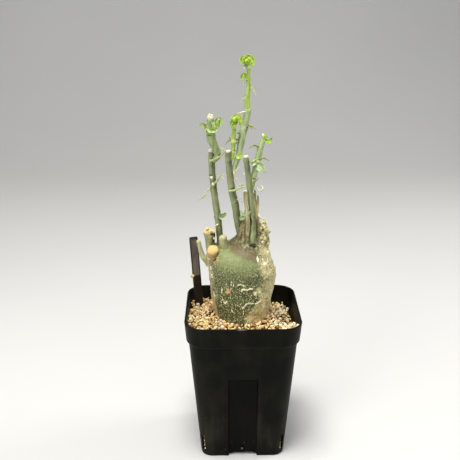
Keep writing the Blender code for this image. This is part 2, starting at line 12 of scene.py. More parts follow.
import bpy
import numpy as np
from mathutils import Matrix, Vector


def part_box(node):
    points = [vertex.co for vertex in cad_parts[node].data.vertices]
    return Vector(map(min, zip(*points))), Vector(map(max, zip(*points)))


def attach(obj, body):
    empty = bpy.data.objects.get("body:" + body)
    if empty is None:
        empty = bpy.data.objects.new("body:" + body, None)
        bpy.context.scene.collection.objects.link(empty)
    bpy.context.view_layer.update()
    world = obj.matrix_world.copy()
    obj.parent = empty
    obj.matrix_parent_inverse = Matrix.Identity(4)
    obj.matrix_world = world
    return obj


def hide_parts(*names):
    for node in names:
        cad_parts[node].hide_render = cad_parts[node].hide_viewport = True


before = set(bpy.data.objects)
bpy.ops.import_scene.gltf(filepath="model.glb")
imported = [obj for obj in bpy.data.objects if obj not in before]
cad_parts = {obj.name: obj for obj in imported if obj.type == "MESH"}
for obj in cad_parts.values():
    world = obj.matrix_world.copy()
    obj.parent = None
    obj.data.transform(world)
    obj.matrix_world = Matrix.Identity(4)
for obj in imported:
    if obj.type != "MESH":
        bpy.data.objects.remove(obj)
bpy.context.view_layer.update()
MM = 0.001
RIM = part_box("pot")[1][2]
print("nodes", len(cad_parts), "rim height", round(RIM, 4))


# %% [markdown]
# ## Small tools for shapes
#
# Every new piece is a surface over a grid: rings of points, one ring after another. The tools
# here ease between values, bend a smooth line through a few points, and make soft noise, always
# on whole arrays.

# %% Lines, easing and noise
def eased(values, low, high):
    """0 below low, 1 above high, and 3t^2 - 2t^3 between them."""
    share = np.clip((np.asarray(values, float) - low) / (high - low), 0, 1)
    return share * share * (3 - 2 * share)


def spline(points, count):
    """Even points along the Catmull-Rom curve through the given rows of numbers."""
    points = np.asarray(points, float)
    ends = np.vstack([2 * points[0] - points[1], points, 2 * points[-1] - points[-2]])
    share = np.linspace(0, len(points) - 1, 16 * len(points))
    low = np.minimum(share.astype(int), len(points) - 2)
    t = (share - low)[:, None]
    a, b, c, d = ends[low], ends[low + 1], ends[low + 2], ends[low + 3]
    line = 0.5 * (2 * b + (c - a) * t + (2 * a - 5 * b + 4 * c - d) * t**2 + (3 * b - a - 3 * c + d) * t**3)
    length = np.concatenate([[0], np.cumsum(np.linalg.norm(np.diff(line, axis=0), axis=1))])
    even = np.linspace(0, length[-1], count)
    return np.stack([np.interp(even, length, line[:, i]) for i in range(line.shape[1])], axis=1)


def grain(points, size, seed=0):
    """Soft noise from -1 to 1: random values on a cubic lattice, eased from corner to corner."""
    place = points / size + 211.3 + 7.7 * seed
    cell = np.floor(place).astype(np.int64)
    t = place - cell
    t = t * t * (3 - 2 * t)
    total = 0
    for corner in product((0, 1), repeat=3):
        c = cell + corner
        code = c[..., 0] * 73856093 ^ c[..., 1] * 19349663 ^ c[..., 2] * 83492791
        code = (code ^ (code >> 13)) * 1274126177 & 0xFFFFFFFF
        value = ((code ^ (code >> 16)) & 0xFFFF) / 32767.5 - 1
        total = total + value * np.prod(np.where(corner, t, 1 - t), axis=-1)
    return total


def at(*place):
    """Millimetres with the height above the rim plane, as metres in the frame."""
    return np.asarray(place, float) * MM + np.array([0, 0, RIM])


print("noise range", round(float(grain(np.random.default_rng(1).random((500, 3)), 0.1).max()), 2))

# %% [markdown]
# ## From grid to mesh
#
# A skin closes its rings sideways and closes each end with a fan of triangles, so it is always
# a solid. Its signed volume tells whether it is inside out, and then its faces are turned. Marks
# are numbers kept at the points, such as how far a spot belongs to a cut face, and the finishes
# read them later.

# %% Skins and pieces
def skin(points, **marks):
    """A closed skin over rings of points (rows, columns, 3), with marks of (rows, columns)."""
    rows, columns = points.shape[:2]
    index = np.arange(rows * columns).reshape(rows, columns)
    beside = np.roll(index, -1, axis=1)
    quads = np.stack([index[:-1], beside[:-1], beside[1:], index[1:]], axis=-1).reshape(-1, 4)
    low, high = np.full(columns, rows * columns), np.full(columns, rows * columns + 1)
    tris = np.vstack([np.stack([low, beside[0], index[0]], 1), np.stack([high, index[-1], beside[-1]], 1)])
    body = np.vstack([points.reshape(-1, 3), points[0].mean(0), points[-1].mean(0)])
    a, b, c = body[tris].transpose(1, 0, 2)
    volume = np.einsum("ij,ij->", a, np.cross(b, c))
    for corners in (quads[:, (0, 1, 2)], quads[:, (0, 2, 3)]):
        a, b, c = body[corners].transpose(1, 0, 2)
        volume += np.einsum("ij,ij->", a, np.cross(b, c))
    if volume < 0:
        quads, tris = quads[:, ::-1], tris[:, ::-1]
    kept = {}
    for name, values in marks.items():
        values = np.broadcast_to(values, (rows, columns))
        kept[name] = np.concatenate([values.ravel(), [values[0].mean(), values[-1].mean()]])
    return {"points": body, "quads": quads, "tris": tris, "marks": kept}


def piece(name, parts, finish, slot, *nodes):
    """One object from several skins, riding on the plant's only body."""
    sizes = [len(part["points"]) for part in parts]
    first = np.concatenate([[0], np.cumsum(sizes)[:-1]])
    points = np.vstack([part["points"] for part in parts])
    quads = np.vstack([part["quads"] + i for part, i in zip(parts, first)]).astype(np.int32)
    tris = np.vstack([part["tris"] + i for part, i in zip(parts, first)]).astype(np.int32)
    mesh = bpy.data.meshes.new(name)
    mesh.vertices.add(len(points))
    mesh.vertices.foreach_set("co", points.ravel())
    loops = np.concatenate([quads.ravel(), tris.ravel()])
    mesh.loops.add(len(loops))
    mesh.loops.foreach_set("vertex_index", loops)
    mesh.polygons.add(len(quads) + len(tris))
    starts = np.concatenate([np.arange(len(quads)) * 4, 4 * len(quads) + np.arange(len(tris)) * 3])
    mesh.polygons.foreach_set("loop_start", starts.astype(np.int32))
    mesh.polygons.foreach_set("use_smooth", np.ones(len(starts), bool))
    mesh.update(calc_edges=True)
    for mark in sorted({mark for part in parts for mark in part["marks"]}):
        values = [part["marks"].get(mark, np.zeros(n)) for part, n in zip(parts, sizes)]
        mesh.attributes.new(mark, "FLOAT", "POINT").data.foreach_set("value", np.concatenate(values))
    made = bpy.data.objects.new(name, mesh)
    bpy.context.scene.collection.objects.link(made)
    mesh.materials.append(finish)
    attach(made, "root")
    if nodes:
        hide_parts(*nodes)
    print(name, "faces", len(starts))
    return made


# %% [markdown]
# ## Shader sums written as sums
#
# A finish is a small network of nodes. To read like a formula, a socket is wrapped in a class
# whose operators add Math nodes, and every other node comes from one method that takes its type,
# settings and inputs.

# %% Values and colours
class Value:
    """A node's output that can be used in sums."""

    def __init__(self, finish, socket):
        self.finish = finish
        self.socket = socket

    def maths(self, operation, *values):
        inputs = dict(enumerate(values))
        return self.finish.node("Math", {"operation": operation}, inputs)

    def __add__(self, other):
        return self.maths("ADD", self, other)

    def __sub__(self, other):
        return self.maths("SUBTRACT", self, other)

    def __rsub__(self, other):
        return self.maths("SUBTRACT", other, self)

    def __mul__(self, other):
        return self.maths("MULTIPLY", self, other)

    __radd__ = __add__
    __rmul__ = __mul__

    def over(self, low, high):
        """0 below low, 1 above high, eased between; low may be the larger one."""
        settings = {"interpolation_type": "SMOOTHSTEP"}
        if low < high:
            return self.finish.node("MapRange", settings, {"Value": self, "From Min": low, "From Max": high})
        ends = {"Value": self, "From Min": high, "From Max": low, "To Min": 1.0, "To Max": 0.0}
        return self.finish.node("MapRange", settings, ends)


def paint(red, green, blue):
    """A colour as it is seen on a screen, 0 to 255, turned into linear light."""
    seen = np.array([red, green, blue]) / 255
    return (*np.where(seen < 0.04045, seen / 12.92, ((seen + 0.055) / 1.055) ** 2.4), 1.0)


print("cream in linear light", [round(c, 2) for c in paint(235, 205, 150)])


# %% Finishes
class Finish:
    """A material, with the one way in which nodes are added to it."""

    def __init__(self, name, **sockets):
        self.material = bpy.data.materials.new(name)
        self.material.use_nodes = True
        self.tree = self.material.node_tree
        self.shader = self.tree.nodes["Principled BSDF"]
        for socket, value in sockets.items():
            self.shader.inputs[socket.replace("_", " ")].default_value = value
        self.place = self.node("TexCoord", output="Object")

    def node(self, kind, settings=None, inputs=None, output=0):
        """Adds a node, sets its settings, then gives its inputs their values or links."""
        made = self.tree.nodes.new("ShaderNode" + kind)
        for key, value in (settings or {}).items():
            if key == "stops":
                while len(made.color_ramp.elements) < len(value):
                    made.color_ramp.elements.new(0.5)
                for element, (position, colour) in zip(made.color_ramp.elements, value):
                    element.position = position
                    element.color = paint(*colour)
            else:
                setattr(made, key, value)
        for key, value in (inputs or {}).items():
            self.join(value, made.inputs[key])
        return Value(self, made.outputs[output])

    def join(self, value, socket):
        """Links a value to a socket or sets it there; three numbers make a colour seen on a screen."""
        if isinstance(value, Value):
            self.tree.links.new(value.socket, socket)
        elif socket.type == "RGBA" and len(value) == 3:
            socket.default_value = paint(*value)
        else:
            socket.default_value = value

    def noise(self, size, detail=3.0, stretch=None, distortion=0.0):
        """Cloudy noise around 0.5 whose features are `size` metres across."""
        place = self.place
        if stretch:
            place = self.node("Mapping", None, {"Vector": place, "Scale": stretch})
        inputs = {"Vector": place, "Scale": 1 / size, "Detail": detail, "Distortion": distortion}
        return self.node("TexNoise", None, inputs)

    def cells(self, size, output="Distance", **settings):
        """Distance to the nearest of scattered points, `size` metres apart, or a cell's colour."""
        return self.node("TexVoronoi", settings, {"Vector": self.place, "Scale": 1 / size}, output)

    def mark(self, name):
        return self.node("Attribute", {"attribute_name": name}, None, "Fac")

    def ramp(self, value, *stops):
        return self.node("ValToRGB", {"stops": stops}, {"Fac": value})

    def mixed(self, share, under, over):
        """The first colour where share is 0 and the second where it is 1."""
        return self.node("Mix", {"data_type": "RGBA"}, {0: share, 6: under, 7: over}, 2)

    def wear(self, colour, roughness, height, depth):
        """Joins colour, roughness and a bump that is `depth` metres high to the shader."""
        self.join(colour, self.shader.inputs["Base Color"])
        self.join(roughness, self.shader.inputs["Roughness"])
        bump = self.node("Bump", None, {"Height": height, "Distance": depth, "Strength": 1.0})
        self.join(bump, self.shader.inputs["Normal"])
        return self.material


print("a finish can make", [name for name in vars(Finish) if not name.startswith("_")])

# %% [markdown]
# ## Pot plastic
#
# The pot is thin black polypropylene: satin, a little cloudy where dust and dried water cling,
# with a very fine orange-peel texture from the mould. The dust is kept to faint patches that
# get stronger towards the base.

# %% Finish of the pot
pot_plastic = Finish("pot_plastic", Specular_IOR_Level=0.07)
height = pot_plastic.node("SeparateXYZ", None, {0: pot_plastic.place}, "Z")
cloud = pot_plastic.noise(22 * MM, 5)
streak = pot_plastic.noise(7 * MM, 4, (1, 1, 0.12))
peel = pot_plastic.noise(0.9 * MM, 3)
dust = (cloud * 0.6 + streak * 0.6).over(0.52, 0.86) * (0.25 + 0.75 * height.over(0.07, 0.0))
speck = pot_plastic.cells(5 * MM).over(0.07, 0.03) * height.over(0.06, 0.01)
black = pot_plastic.mixed(cloud.over(0.3, 0.7), (10, 10, 7), (20, 20, 14))
black = pot_plastic.mixed(dust * 0.3, black, (84, 80, 70))
# Painted shade: the recessed faces of the side channels are darkened nearly to black.
black = pot_plastic.mixed(pot_plastic.mark("recess") * 0.8, black, (2, 2, 1))
black = pot_plastic.mixed(speck * 0.7, black, (150, 142, 120))
black = pot_plastic.mixed(pot_plastic.mark("gate") * 0.6, black, (110, 112, 112))
POT_PLASTIC = pot_plastic.wear(black, 0.4 + 0.1 * cloud + 0.3 * dust, peel * 0.3 + streak, 0.12 * MM)
print("pot plastic nodes", len(pot_plastic.tree.nodes))


# %% [markdown]
# ## The pot
#
# A moulded square pot is one outline pushed through many heights: a straight taper, a
# step out into the collar, a rolled lip, and back down the inside. The outline is a rounded
# square whose sides each carry a shallow channel, worked out for all points at once.

# %% Outline of the pot
CHANNEL_HALF = 10.6 * MM
CHANNEL_DEPTH = 2.4 * MM
CHANNEL_TOP = 72 * MM
COLLAR_FOOT = RIM - 15.8 * MM
WALL = 1.2 * MM
ARCH_HEIGHT = 1.5 * MM


FOOT_WIDTH, SHOULDER_WIDTH = 66.4, 84.0
COLLAR_WIDTH, RIM_WIDTH = 87.4, 90.0
FOOT_CORNER, CORNER_GROWTH, COLLAR_CORNER = 9, 5.5, 16
LIP = 0.72


def body_half(z):
    return (FOOT_WIDTH + (SHOULDER_WIDTH - FOOT_WIDTH) * z / COLLAR_FOOT) / 2 * MM


def collar_half(z):
    return (COLLAR_WIDTH + (RIM_WIDTH - COLLAR_WIDTH) * (z - COLLAR_FOOT) / (RIM - COLLAR_FOOT)) / 2 * MM


def corner_size(z):
    return (FOOT_CORNER + CORNER_GROWTH * min(1, z / COLLAR_FOOT)) * MM


def outline(half, corner, z, channel=0.0, inset=0.0):
    """A rounded square: one side with its channel and one corner, turned four times.

    Across a side, y = -half + channel * ease(distance past the channel's edge); a corner is a
    quarter circle. `inset` widens the channel for the inner face of the wall.
    """
    edge = CHANNEL_HALF + inset
    slope = 1.1 * MM
    flat = half - corner
    left = np.concatenate([np.linspace(-flat, -edge - slope, 6)[:-1], np.linspace(-edge - slope, -edge, 9)])
    x = np.concatenate([left, np.linspace(-edge, edge, 9)[1:-1], -left[::-1]])
    y = -half + channel * (1 - eased(np.abs(x), edge, edge + slope))
    turn = np.linspace(-np.pi / 2, 0, 17)[1:-1]
    side = np.stack([np.append(x, flat + corner * np.cos(turn)), np.append(y, -flat + corner * np.sin(turn))])
    quarters = np.arange(4) * np.pi / 2
    turns = [np.array([[np.cos(a), -np.sin(a)], [np.sin(a), np.cos(a)]]) @ side for a in quarters]
    ring = np.concatenate(turns, axis=1)
    return np.stack([ring[0], ring[1], np.full(ring.shape[1], z)], axis=1)


print("points around the pot", len(outline(body_half(0), corner_size(0), 0)))

# %% Rings from the foot over the lip to the floor inside
rings = []
for inward, z in ((12.0, 0), (10.0, 0), (6.0, 0), (3.0, 0), (1.5, 0), (0.5, 0.15), (0.12, 0.5), (0, 1.1)):
    corner = max(1.0, FOOT_CORNER - inward) * MM
    rings.append(outline(body_half(0) - inward * MM, corner, z * MM, CHANNEL_DEPTH))
for z in np.concatenate([np.linspace(5, 70, 14) * MM, CHANNEL_TOP + np.linspace(-0.6, 0.6, 9) * MM]):
    fade = 1 - eased(z, CHANNEL_TOP - 0.45 * MM, CHANNEL_TOP + 0.45 * MM)
    rings.append(outline(body_half(z), corner_size(z), z, CHANNEL_DEPTH * fade))
for z in (78, 84, 90, 95, 99, 100.3):
    rings.append(outline(body_half(z * MM), corner_size(z * MM), z * MM))
for out, z in ((0.5, -0.55), (1.1, -0.35), (1.5, -0.1), (1.75, 0.35), (1.78, 0.9)):
    half = body_half(COLLAR_FOOT) + (out - 0.08) * MM
    rings.append(outline(half, corner_size(1) + out * MM * 0.85, COLLAR_FOOT + z * MM))
for z in np.linspace(2.5, 14.6, 8) * MM:
    rings.append(outline(collar_half(COLLAR_FOOT + z), COLLAR_CORNER * MM, COLLAR_FOOT + z))
for a in np.linspace(0, np.pi, 9):
    half = collar_half(RIM) - (0.75 - LIP * np.cos(a)) * MM
    corner = (COLLAR_CORNER - 0.75 + LIP * np.cos(a)) * MM
    rings.append(outline(half, corner, RIM - LIP * MM + LIP * MM * np.sin(a)))
for z in (-3, -7, -11, -14):
    rings.append(outline(collar_half(RIM + z * MM) - 1.5 * MM, 14.5 * MM, RIM + z * MM))
for z in (100.5, 95, 84, 76, 73.5, 72, 70, 50, 30, 12, 4.5, 3.2):
    fade = 1 - eased(z * MM, 71.2 * MM, 74 * MM)
    half = body_half(z * MM) - WALL
    rings.append(outline(half, corner_size(z * MM) - WALL, z * MM, CHANNEL_DEPTH * fade, WALL))
for inward in (2.0, 6.0, 12.0):
    rings.append(outline(body_half(0) - WALL - inward * MM, 3 * MM, 3.2 * MM, CHANNEL_DEPTH, WALL))
shell = np.array(rings)
print("pot rings", shell.shape, "half width at the rim", round(shell[..., 0].max(), 5))

# %% [markdown]
# The foot of each side is arched under its channel, the corners carry drainage slots, and the
# floor has four holes. The arch is only a lift of the lowest points. Slots and holes go right
# through, so they are cut with an exact Boolean whose cutters are removed once it is applied.
# A faint round spot on the front of the lip is where the plastic entered the mould.

# %% Cutting and placing the pot
reach = np.maximum(np.abs(shell[..., 0]), np.abs(shell[..., 1]))
across = np.minimum(np.abs(shell[..., 0]), np.abs(shell[..., 1]))
outside = np.arange(len(shell))[:, None] < 8
arch = ARCH_HEIGHT * outside * (1 - eased(across, 9.6 * MM, 10.8 * MM))
shell[..., 2] += arch * eased(reach, 22 * MM, 24 * MM)
spot = np.hypot(shell[..., 0] + 2 * MM, (shell[..., 1] + 44.2 * MM) * 1.5)
gate = (1 - eased(spot, 1.5 * MM, 3.8 * MM)) * (shell[..., 2] > RIM - 1.2 * MM)
middle = 1 - eased(across, CHANNEL_HALF, CHANNEL_HALF + 0.8 * MM)
# The middle of each channel, below its top and on the outside only, is where the painted shade of the recess
# goes.
recess = middle * (shell[..., 2] < CHANNEL_TOP) * (np.arange(len(shell))[:, None] < 30)
pot = piece("nursery_pot", [skin(shell, gate=gate, recess=recess)], POT_PLASTIC, "pot", "pot")


def bar(middle, size, turn):
    """A closed box as four rings, turned about Z, to cut with."""
    x, y, z = np.array([[-1, 1, 1, -1], [-1, -1, 1, 1], [0, 0, 0, 0]]) / 2
    ring = np.stack([x * size[0], y * size[1], z], axis=1)
    rows = np.stack([ring + [0, 0, h * size[2]] for h in (-0.5, 0.5)])
    c, s = np.cos(turn), np.sin(turn)
    return rows @ np.array([[c, s, 0], [-s, c, 0], [0, 0, 1]]) + middle


SLOT_SIZE, SLOT_MIDDLE = (9.6 * MM, 3.2 * MM, 14 * MM), 11.5 * MM
DRAIN_RADIUS, DRAIN_OUT = 3 * MM, 21.2 * MM
cutters = []
for turn in np.arange(4) * np.pi / 2 + np.pi / 4:
    way = np.array([np.cos(turn), np.sin(turn), 0])
    corner = math.sqrt(2) * (body_half(0) - FOOT_CORNER * MM) + FOOT_CORNER * MM
    cutters.append(skin(bar(way * corner + [0, 0, SLOT_MIDDLE], SLOT_SIZE, turn)))
    turned = np.linspace(0, 2 * np.pi, 24, endpoint=False)
    hole = np.stack([DRAIN_RADIUS * np.cos(turned), DRAIN_RADIUS * np.sin(turned), 0 * turned], axis=1)
    cutters.append(skin(np.stack([hole + way * DRAIN_OUT + [0, 0, h * MM] for h in (-2, 6)])))
cutter = piece("slot_cutter", cutters, POT_PLASTIC, "pot")
cut = pot.modifiers.new("slots", "BOOLEAN")
cut.operation = "DIFFERENCE"
cut.solver = "EXACT"
cut.object = cutter
solid = bpy.data.meshes.new_from_object(pot.evaluated_get(bpy.context.evaluated_depsgraph_get()))
pot.modifiers.clear()
pot.data = solid
bpy.data.objects.remove(cutter, do_unlink=True)
solid.set_sharp_from_angle(angle=math.radians(50))
print("pot faces after its slots", len(solid.polygons))

# %% [markdown]
# ## Potting mix
#
# The dark mix fills the pot under the dressing. It is hidden except at the slots and drain
# holes, so the packed solid stays and only gets an earthy finish.

# %% Finish of the mix
potting_mix = Finish("potting_mix", Specular_IOR_Level=0.2)
clod = potting_mix.cells(1.6 * MM)
grit = potting_mix.noise(0.8 * MM, 4)
earth = potting_mix.ramp(grit, (0.3, (34, 24, 17)), (0.55, (70, 50, 34)), (0.75, (150, 124, 88)))
MIX = potting_mix.wear(earth, 0.85 + 0.1 * grit, clod * 0.6 + grit, 0.6 * MM)
for material_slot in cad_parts["substrate"].material_slots:
    material_slot.material = MIX
print("mix finish on", len(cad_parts["substrate"].material_slots), "slot")

# %% [markdown]
# ## Pumice
#
# The dressing is pumice, cream to tan chips two to three millimetres across, heaped level with
# the rim at the front and lower at the back. A dark lumpy bed closes the gaps; its dark colour is
# painted shade between the chips. The chips are one mesh of a few thousand squashed octahedra,
# each with its own size, turn and tint.
# Every chip has only 32 faces, shaded flat: at this size they already read as broken stone.

# %% Finishes of the pumice and its bed
pumice = Finish("pumice_chips", Specular_IOR_Level=0.25, Subsurface_Weight=0.0)
tint = pumice.mark("tint")
pores = pumice.cells(0.45 * MM)
mottle = pumice.noise(1.1 * MM, 4)
stone = pumice.ramp(
    tint,
    (0.0, (44, 25, 14)),
    (0.15, (96, 62, 36)),
    (0.36, (172, 130, 82)),
    (0.55, (198, 164, 106)),
    (0.78, (226, 198, 140)),
    (1.0, (248, 234, 198)),
)
stone = pumice.mixed(mottle.over(0.52, 0.76) * 0.4, stone, (206, 156, 104))
stone = pumice.mixed(pores.over(0.3, 0.1) * mottle.over(0.42, 0.6) * 0.4, stone, (146, 108, 66))
PUMICE = pumice.wear(stone, 0.78 + 0.15 * mottle, mottle + pores.over(0.05, 0.45) * 0.5, 0.3 * MM)

# The bed is dark brown to stand for the shade in the gaps between chips: painted shade.
shaded_bed = Finish("shaded_bed", Specular_IOR_Level=0.15)
fines = shaded_bed.noise(1.2 * MM, 5)
bed_colour = shaded_bed.ramp(fines, (0.35, (20, 11, 6)), (0.6, (44, 27, 15)), (0.85, (110, 76, 44)))
BED = shaded_bed.wear(bed_colour, 0.9 + 0.05 * fines, fines, 0.8 * MM)
print("pumice nodes", len(pumice.tree.nodes))

# %% [markdown]
# The height of the heap is a formula: a low edge, raised towards the front and the left, and
# lifted again against the caudex. The chips use the same formula, in three layers laid on a
# jittered hexagonal grid, so they lie packed but never in rows.

# %% The heap and its chips
CAUDEX_FOOT = (-0.8 * MM, -4.5 * MM, 21.0 * MM, 27.0 * MM)
EDGE_DROP, FRONT_RISE, LEFT_RISE, RIGHT_DIP = 12 * MM, 8.2 * MM, 4 * MM, 3.5 * MM
MOUND_DROP, MOUND_REACH, BED_SINK = 2.5 * MM, 16 * MM, 2.4 * MM
COLLAR_ROOM, BODY_ROOM = 43.1 * MM, 40.9 * MM


def from_caudex(x, y):
    """Distance outside the caudex's oval foot, in metres, below 0 inside it."""
    dx, dy = x - CAUDEX_FOOT[0], y - CAUDEX_FOOT[1]
    share = np.maximum(np.hypot(dx / CAUDEX_FOOT[2], dy / CAUDEX_FOOT[3]), 1e-6)
    return np.hypot(dx, dy) * (1 - 1 / share)


def heap(x, y):
    """Height of the dressing: edge, plus front and left rises, plus the mound at the caudex."""
    edge = RIM - EDGE_DROP + FRONT_RISE * eased(-y, 8 * MM, 34 * MM)
    edge = edge + LEFT_RISE * eased(-x, 0, 38 * MM) * eased(26 * MM - y, 0, 40 * MM)
    edge = edge - RIGHT_DIP * eased(x, 14 * MM, 34 * MM) * eased(y, -34 * MM, -8 * MM)
    top = np.maximum(RIM - MOUND_DROP, edge)
    near = eased(1 - from_caudex(x, y) / MOUND_REACH, 0, 1)
    lump = 0.7 * MM * grain(np.stack([x, y, 0 * x], axis=-1), 6 * MM)
    return np.minimum(edge + (top - edge) * near + lump, RIM - 1.3 * MM)


def room(x, y, z, corner=15 * MM):
    """Distance to the pot's inner wall, positive inside: a rounded square's distance formula."""
    half = np.where(z > COLLAR_FOOT + 1.5 * MM, COLLAR_ROOM, BODY_ROOM)
    dx, dy = np.abs(x) - (half - corner), np.abs(y) - (half - corner)
    return corner - np.hypot(np.maximum(dx, 0), np.maximum(dy, 0)) - np.minimum(np.maximum(dx, dy), 0)


rim_line = outline(42.2 * MM, 13.5 * MM, 0)
bed_rings = [np.c_[rim_line[:, :2] * 0.94, np.full(len(rim_line), COLLAR_FOOT - 5 * MM)]]
for share in np.concatenate([[1.0], np.linspace(0.98, 0.02, 40)]):
    x, y = rim_line[:, 0] * share, rim_line[:, 1] * share
    bed_rings.append(np.stack([x, y, heap(x, y) - BED_SINK], axis=1))
piece("pumice_bed", [skin(np.array(bed_rings))], BED, "gravel", "gravel_dressing")

# %% Chips of pumice
dice = np.random.default_rng(20)
lattice = np.stack(np.meshgrid(np.arange(-21, 22), np.arange(-24, 25)), axis=-1).reshape(-1, 2)
spots = []
# The lowest layer's tint is cut to a fifth: painted shade in the gaps under the chips above.
for layer, (lift, step, shade) in enumerate(((-2.6, 2.5, 0.2), (-0.5, 2.75, 1.0), (0.7, 4.4, 1.0))):
    x = (lattice[:, 0] + 0.5 * (lattice[:, 1] % 2)) * step * MM
    y = lattice[:, 1] * step * 0.866 * MM
    jitter = dice.normal(0, 0.42 * MM, (2, len(x)))
    x, y = x + jitter[0] + layer * 0.7 * MM, y + jitter[1]
    size = dice.uniform(0.8, 1.8, len(x)) * MM
    tone = dice.beta(3.0, 1.4, len(x)) * shade * (1 + 0.25 * eased(x, 12 * MM, 30 * MM))
    z = heap(x, y) + (lift + dice.normal(0, 0.35, len(x))) * MM
    gap = np.hypot(x + 22.5 * MM, y + 12 * MM) < 2.2 * MM
    kept = (dice.random(len(x)) > 0.22) & ~(gap & (layer > 0))
    inside = (room(x, y, z) > 0.75 * size) & (from_caudex(x, y) > -0.3 * MM) & kept
    spots.append(np.stack([x, y, z, size, tone], axis=1)[inside])
for turn in np.arange(4) * np.pi / 2 + np.pi / 4:
    for z in (5.6, 7.9, 10.2, 12.4, 14.8, 16.8):
        out = 42.5 * MM + dice.uniform(-0.2, 0.2) * MM
        side = dice.uniform(-0.7, 0.7) * MM
        x, y = out * np.cos(turn) - side * np.sin(turn), out * np.sin(turn) + side * np.cos(turn)
        spots.append(np.array([[x, y, z * MM, dice.uniform(0.8, 1.2) * MM, dice.uniform(0.85, 1)]]))
spots = np.vstack(spots)
axes = np.array([[1, 0, 0], [0, 1, 0], [-1, 0, 0], [0, -1, 0], [0, 0, 1], [0, 0, -1]], float)
faces = [(0, 1, 4), (1, 2, 4), (2, 3, 4), (3, 0, 4), (1, 0, 5), (2, 1, 5), (3, 2, 5), (0, 3, 5)]
edges = sorted({tuple(sorted(pair)) for a, b, c in faces for pair in ((a, b), (b, c), (c, a))})
middles = {pair: 6 + i for i, pair in enumerate(edges)}
ball = np.vstack([axes] + [(axes[a] + axes[b]) / math.sqrt(2) for a, b in edges])
split = []
for a, b, c in faces:
    ab, bc, ca = (middles[tuple(sorted(pair))] for pair in ((a, b), (b, c), (c, a)))
    split += [(a, ab, ca), (ab, b, bc), (ca, bc, c), (ab, bc, ca)]
split = np.array(split)
chip_count = len(spots)
shape = ball * dice.uniform(0.72, 1.18, (chip_count, len(ball), 1))
shape = shape * dice.uniform(0.72, 1.15, (chip_count, 1, 3))
spin = np.linalg.qr(dice.normal(size=(chip_count, 3, 3)))[0]
spin[:, :, 0] *= np.sign(np.linalg.det(spin))[:, None]
chips = np.einsum("nij,nkj->nki", spin, shape) * spots[:, None, 3:4] + spots[:, None, :3]
tris = (split + np.arange(chip_count)[:, None, None] * len(ball)).reshape(-1, 3)
tints = np.repeat(spots[:, 4], len(ball))
no_quads = np.zeros((0, 4), int)
chip_skin = {"points": chips.reshape(-1, 3), "quads": no_quads, "tris": tris, "marks": {"tint": tints}}
heap_of_chips = piece("pumice_chips", [chip_skin], PUMICE, "gravel")
heap_of_chips.data.shade_flat()
print("chips", chip_count)

# %% [markdown]
# ## Skin of the caudex
#
# The base is green where light reaches it and corky where it is old. The finish blends four
# things by marks kept on the surface: smooth pale green at the top of the front, warty dark
# green with pale dots lower down, cream and tan cork on the right, and a brown woody neck. The
# dots are Voronoi cells in two sizes, thinned out by noise so that they come in patches.

# %% Finish of the caudex
hide = Finish("caudex_skin", Specular_IOR_Level=0.38, Subsurface_Weight=0.06, Subsurface_Scale=1.0 * MM)
cork_mark, warty_mark, neck_mark, low_mark = (hide.mark(name) for name in ("cork", "warty", "neck", "low"))
scar_mark, peach_mark, dirt_and_shade_mark = hide.mark("scar"), hide.mark("peach"), hide.mark("dirt")
broad = hide.noise(9 * MM, 4)
fine = hide.noise(1.3 * MM, 5)
tiny = hide.noise(0.45 * MM, 3)
long = hide.noise(2.2 * MM, 4, (1, 1, 0.13))
dot = hide.cells(1.35 * MM)
small_dot = hide.cells(0.75 * MM)
picked = hide.node("SeparateColor", None, {0: hide.cells(1.35 * MM, "Color")}, 0)
patch = hide.noise(5 * MM, 2).over(0.38, 0.58)
dots = dot.over(0.46, 0.24) * picked.over(0.1, 0.5) * warty_mark * (0.3 + 0.7 * patch)
small_dots = small_dot.over(0.48, 0.24) * fine.over(0.3, 0.52) * (0.35 + 0.65 * warty_mark)
green = hide.mixed(broad.over(0.32, 0.68), (76, 87, 46), (108, 117, 66))
green = hide.mixed(warty_mark, (132, 142, 92), green)
pits_shown = (fine * 0.6 + tiny * 0.4).over(0.45, 0.66) * (0.3 + 0.45 * warty_mark)
green = hide.mixed(pits_shown, green, (42, 52, 28))
green = hide.mixed(low_mark * fine.over(0.38, 0.56) * 0.85, green, (96, 76, 32))
green = hide.mixed(dot.over(0.42, 0.6) * warty_mark * 0.7, green, (34, 42, 20))
green = hide.mixed(small_dots * 0.8, green, (178, 172, 100))
green = hide.mixed(tiny.over(0.54, 0.62) * (1 - warty_mark) * 0.6, green, (182, 190, 140))
green = hide.mixed(dots * 0.95, green, (224, 218, 168))
corky = hide.ramp(
    fine * 0.65 + broad * 0.35,
    (0.32, (122, 116, 74)),
    (0.44, (178, 168, 118)),
    (0.55, (214, 202, 152)),
    (0.72, (240, 228, 184)),
)
corky = hide.mixed(low_mark * 0.55, corky, (216, 184, 120))
corky = hide.mixed(hide.mark("tan") * 0.7, corky, (196, 160, 96))
edge = (cork_mark + (broad - 0.5) * 0.8 + (fine - 0.5) * 0.9).over(0.2, 0.85)
colour = hide.mixed(edge, green, corky)
wood = hide.ramp(
    long * 0.8 + fine * 0.2,
    (0.34, (56, 46, 30)),
    (0.45, (96, 88, 58)),
    (0.56, (130, 128, 90)),
    (0.7, (166, 160, 120)),
)
wooded = (neck_mark + (broad - 0.5) * 0.4 + (fine - 0.5) * 0.3).over(0.3, 0.75)
colour = hide.mixed(wooded, colour, wood)
colour = hide.mixed(hide.mark("mauve") * (0.4 + 0.35 * broad), colour, (98, 62, 52))
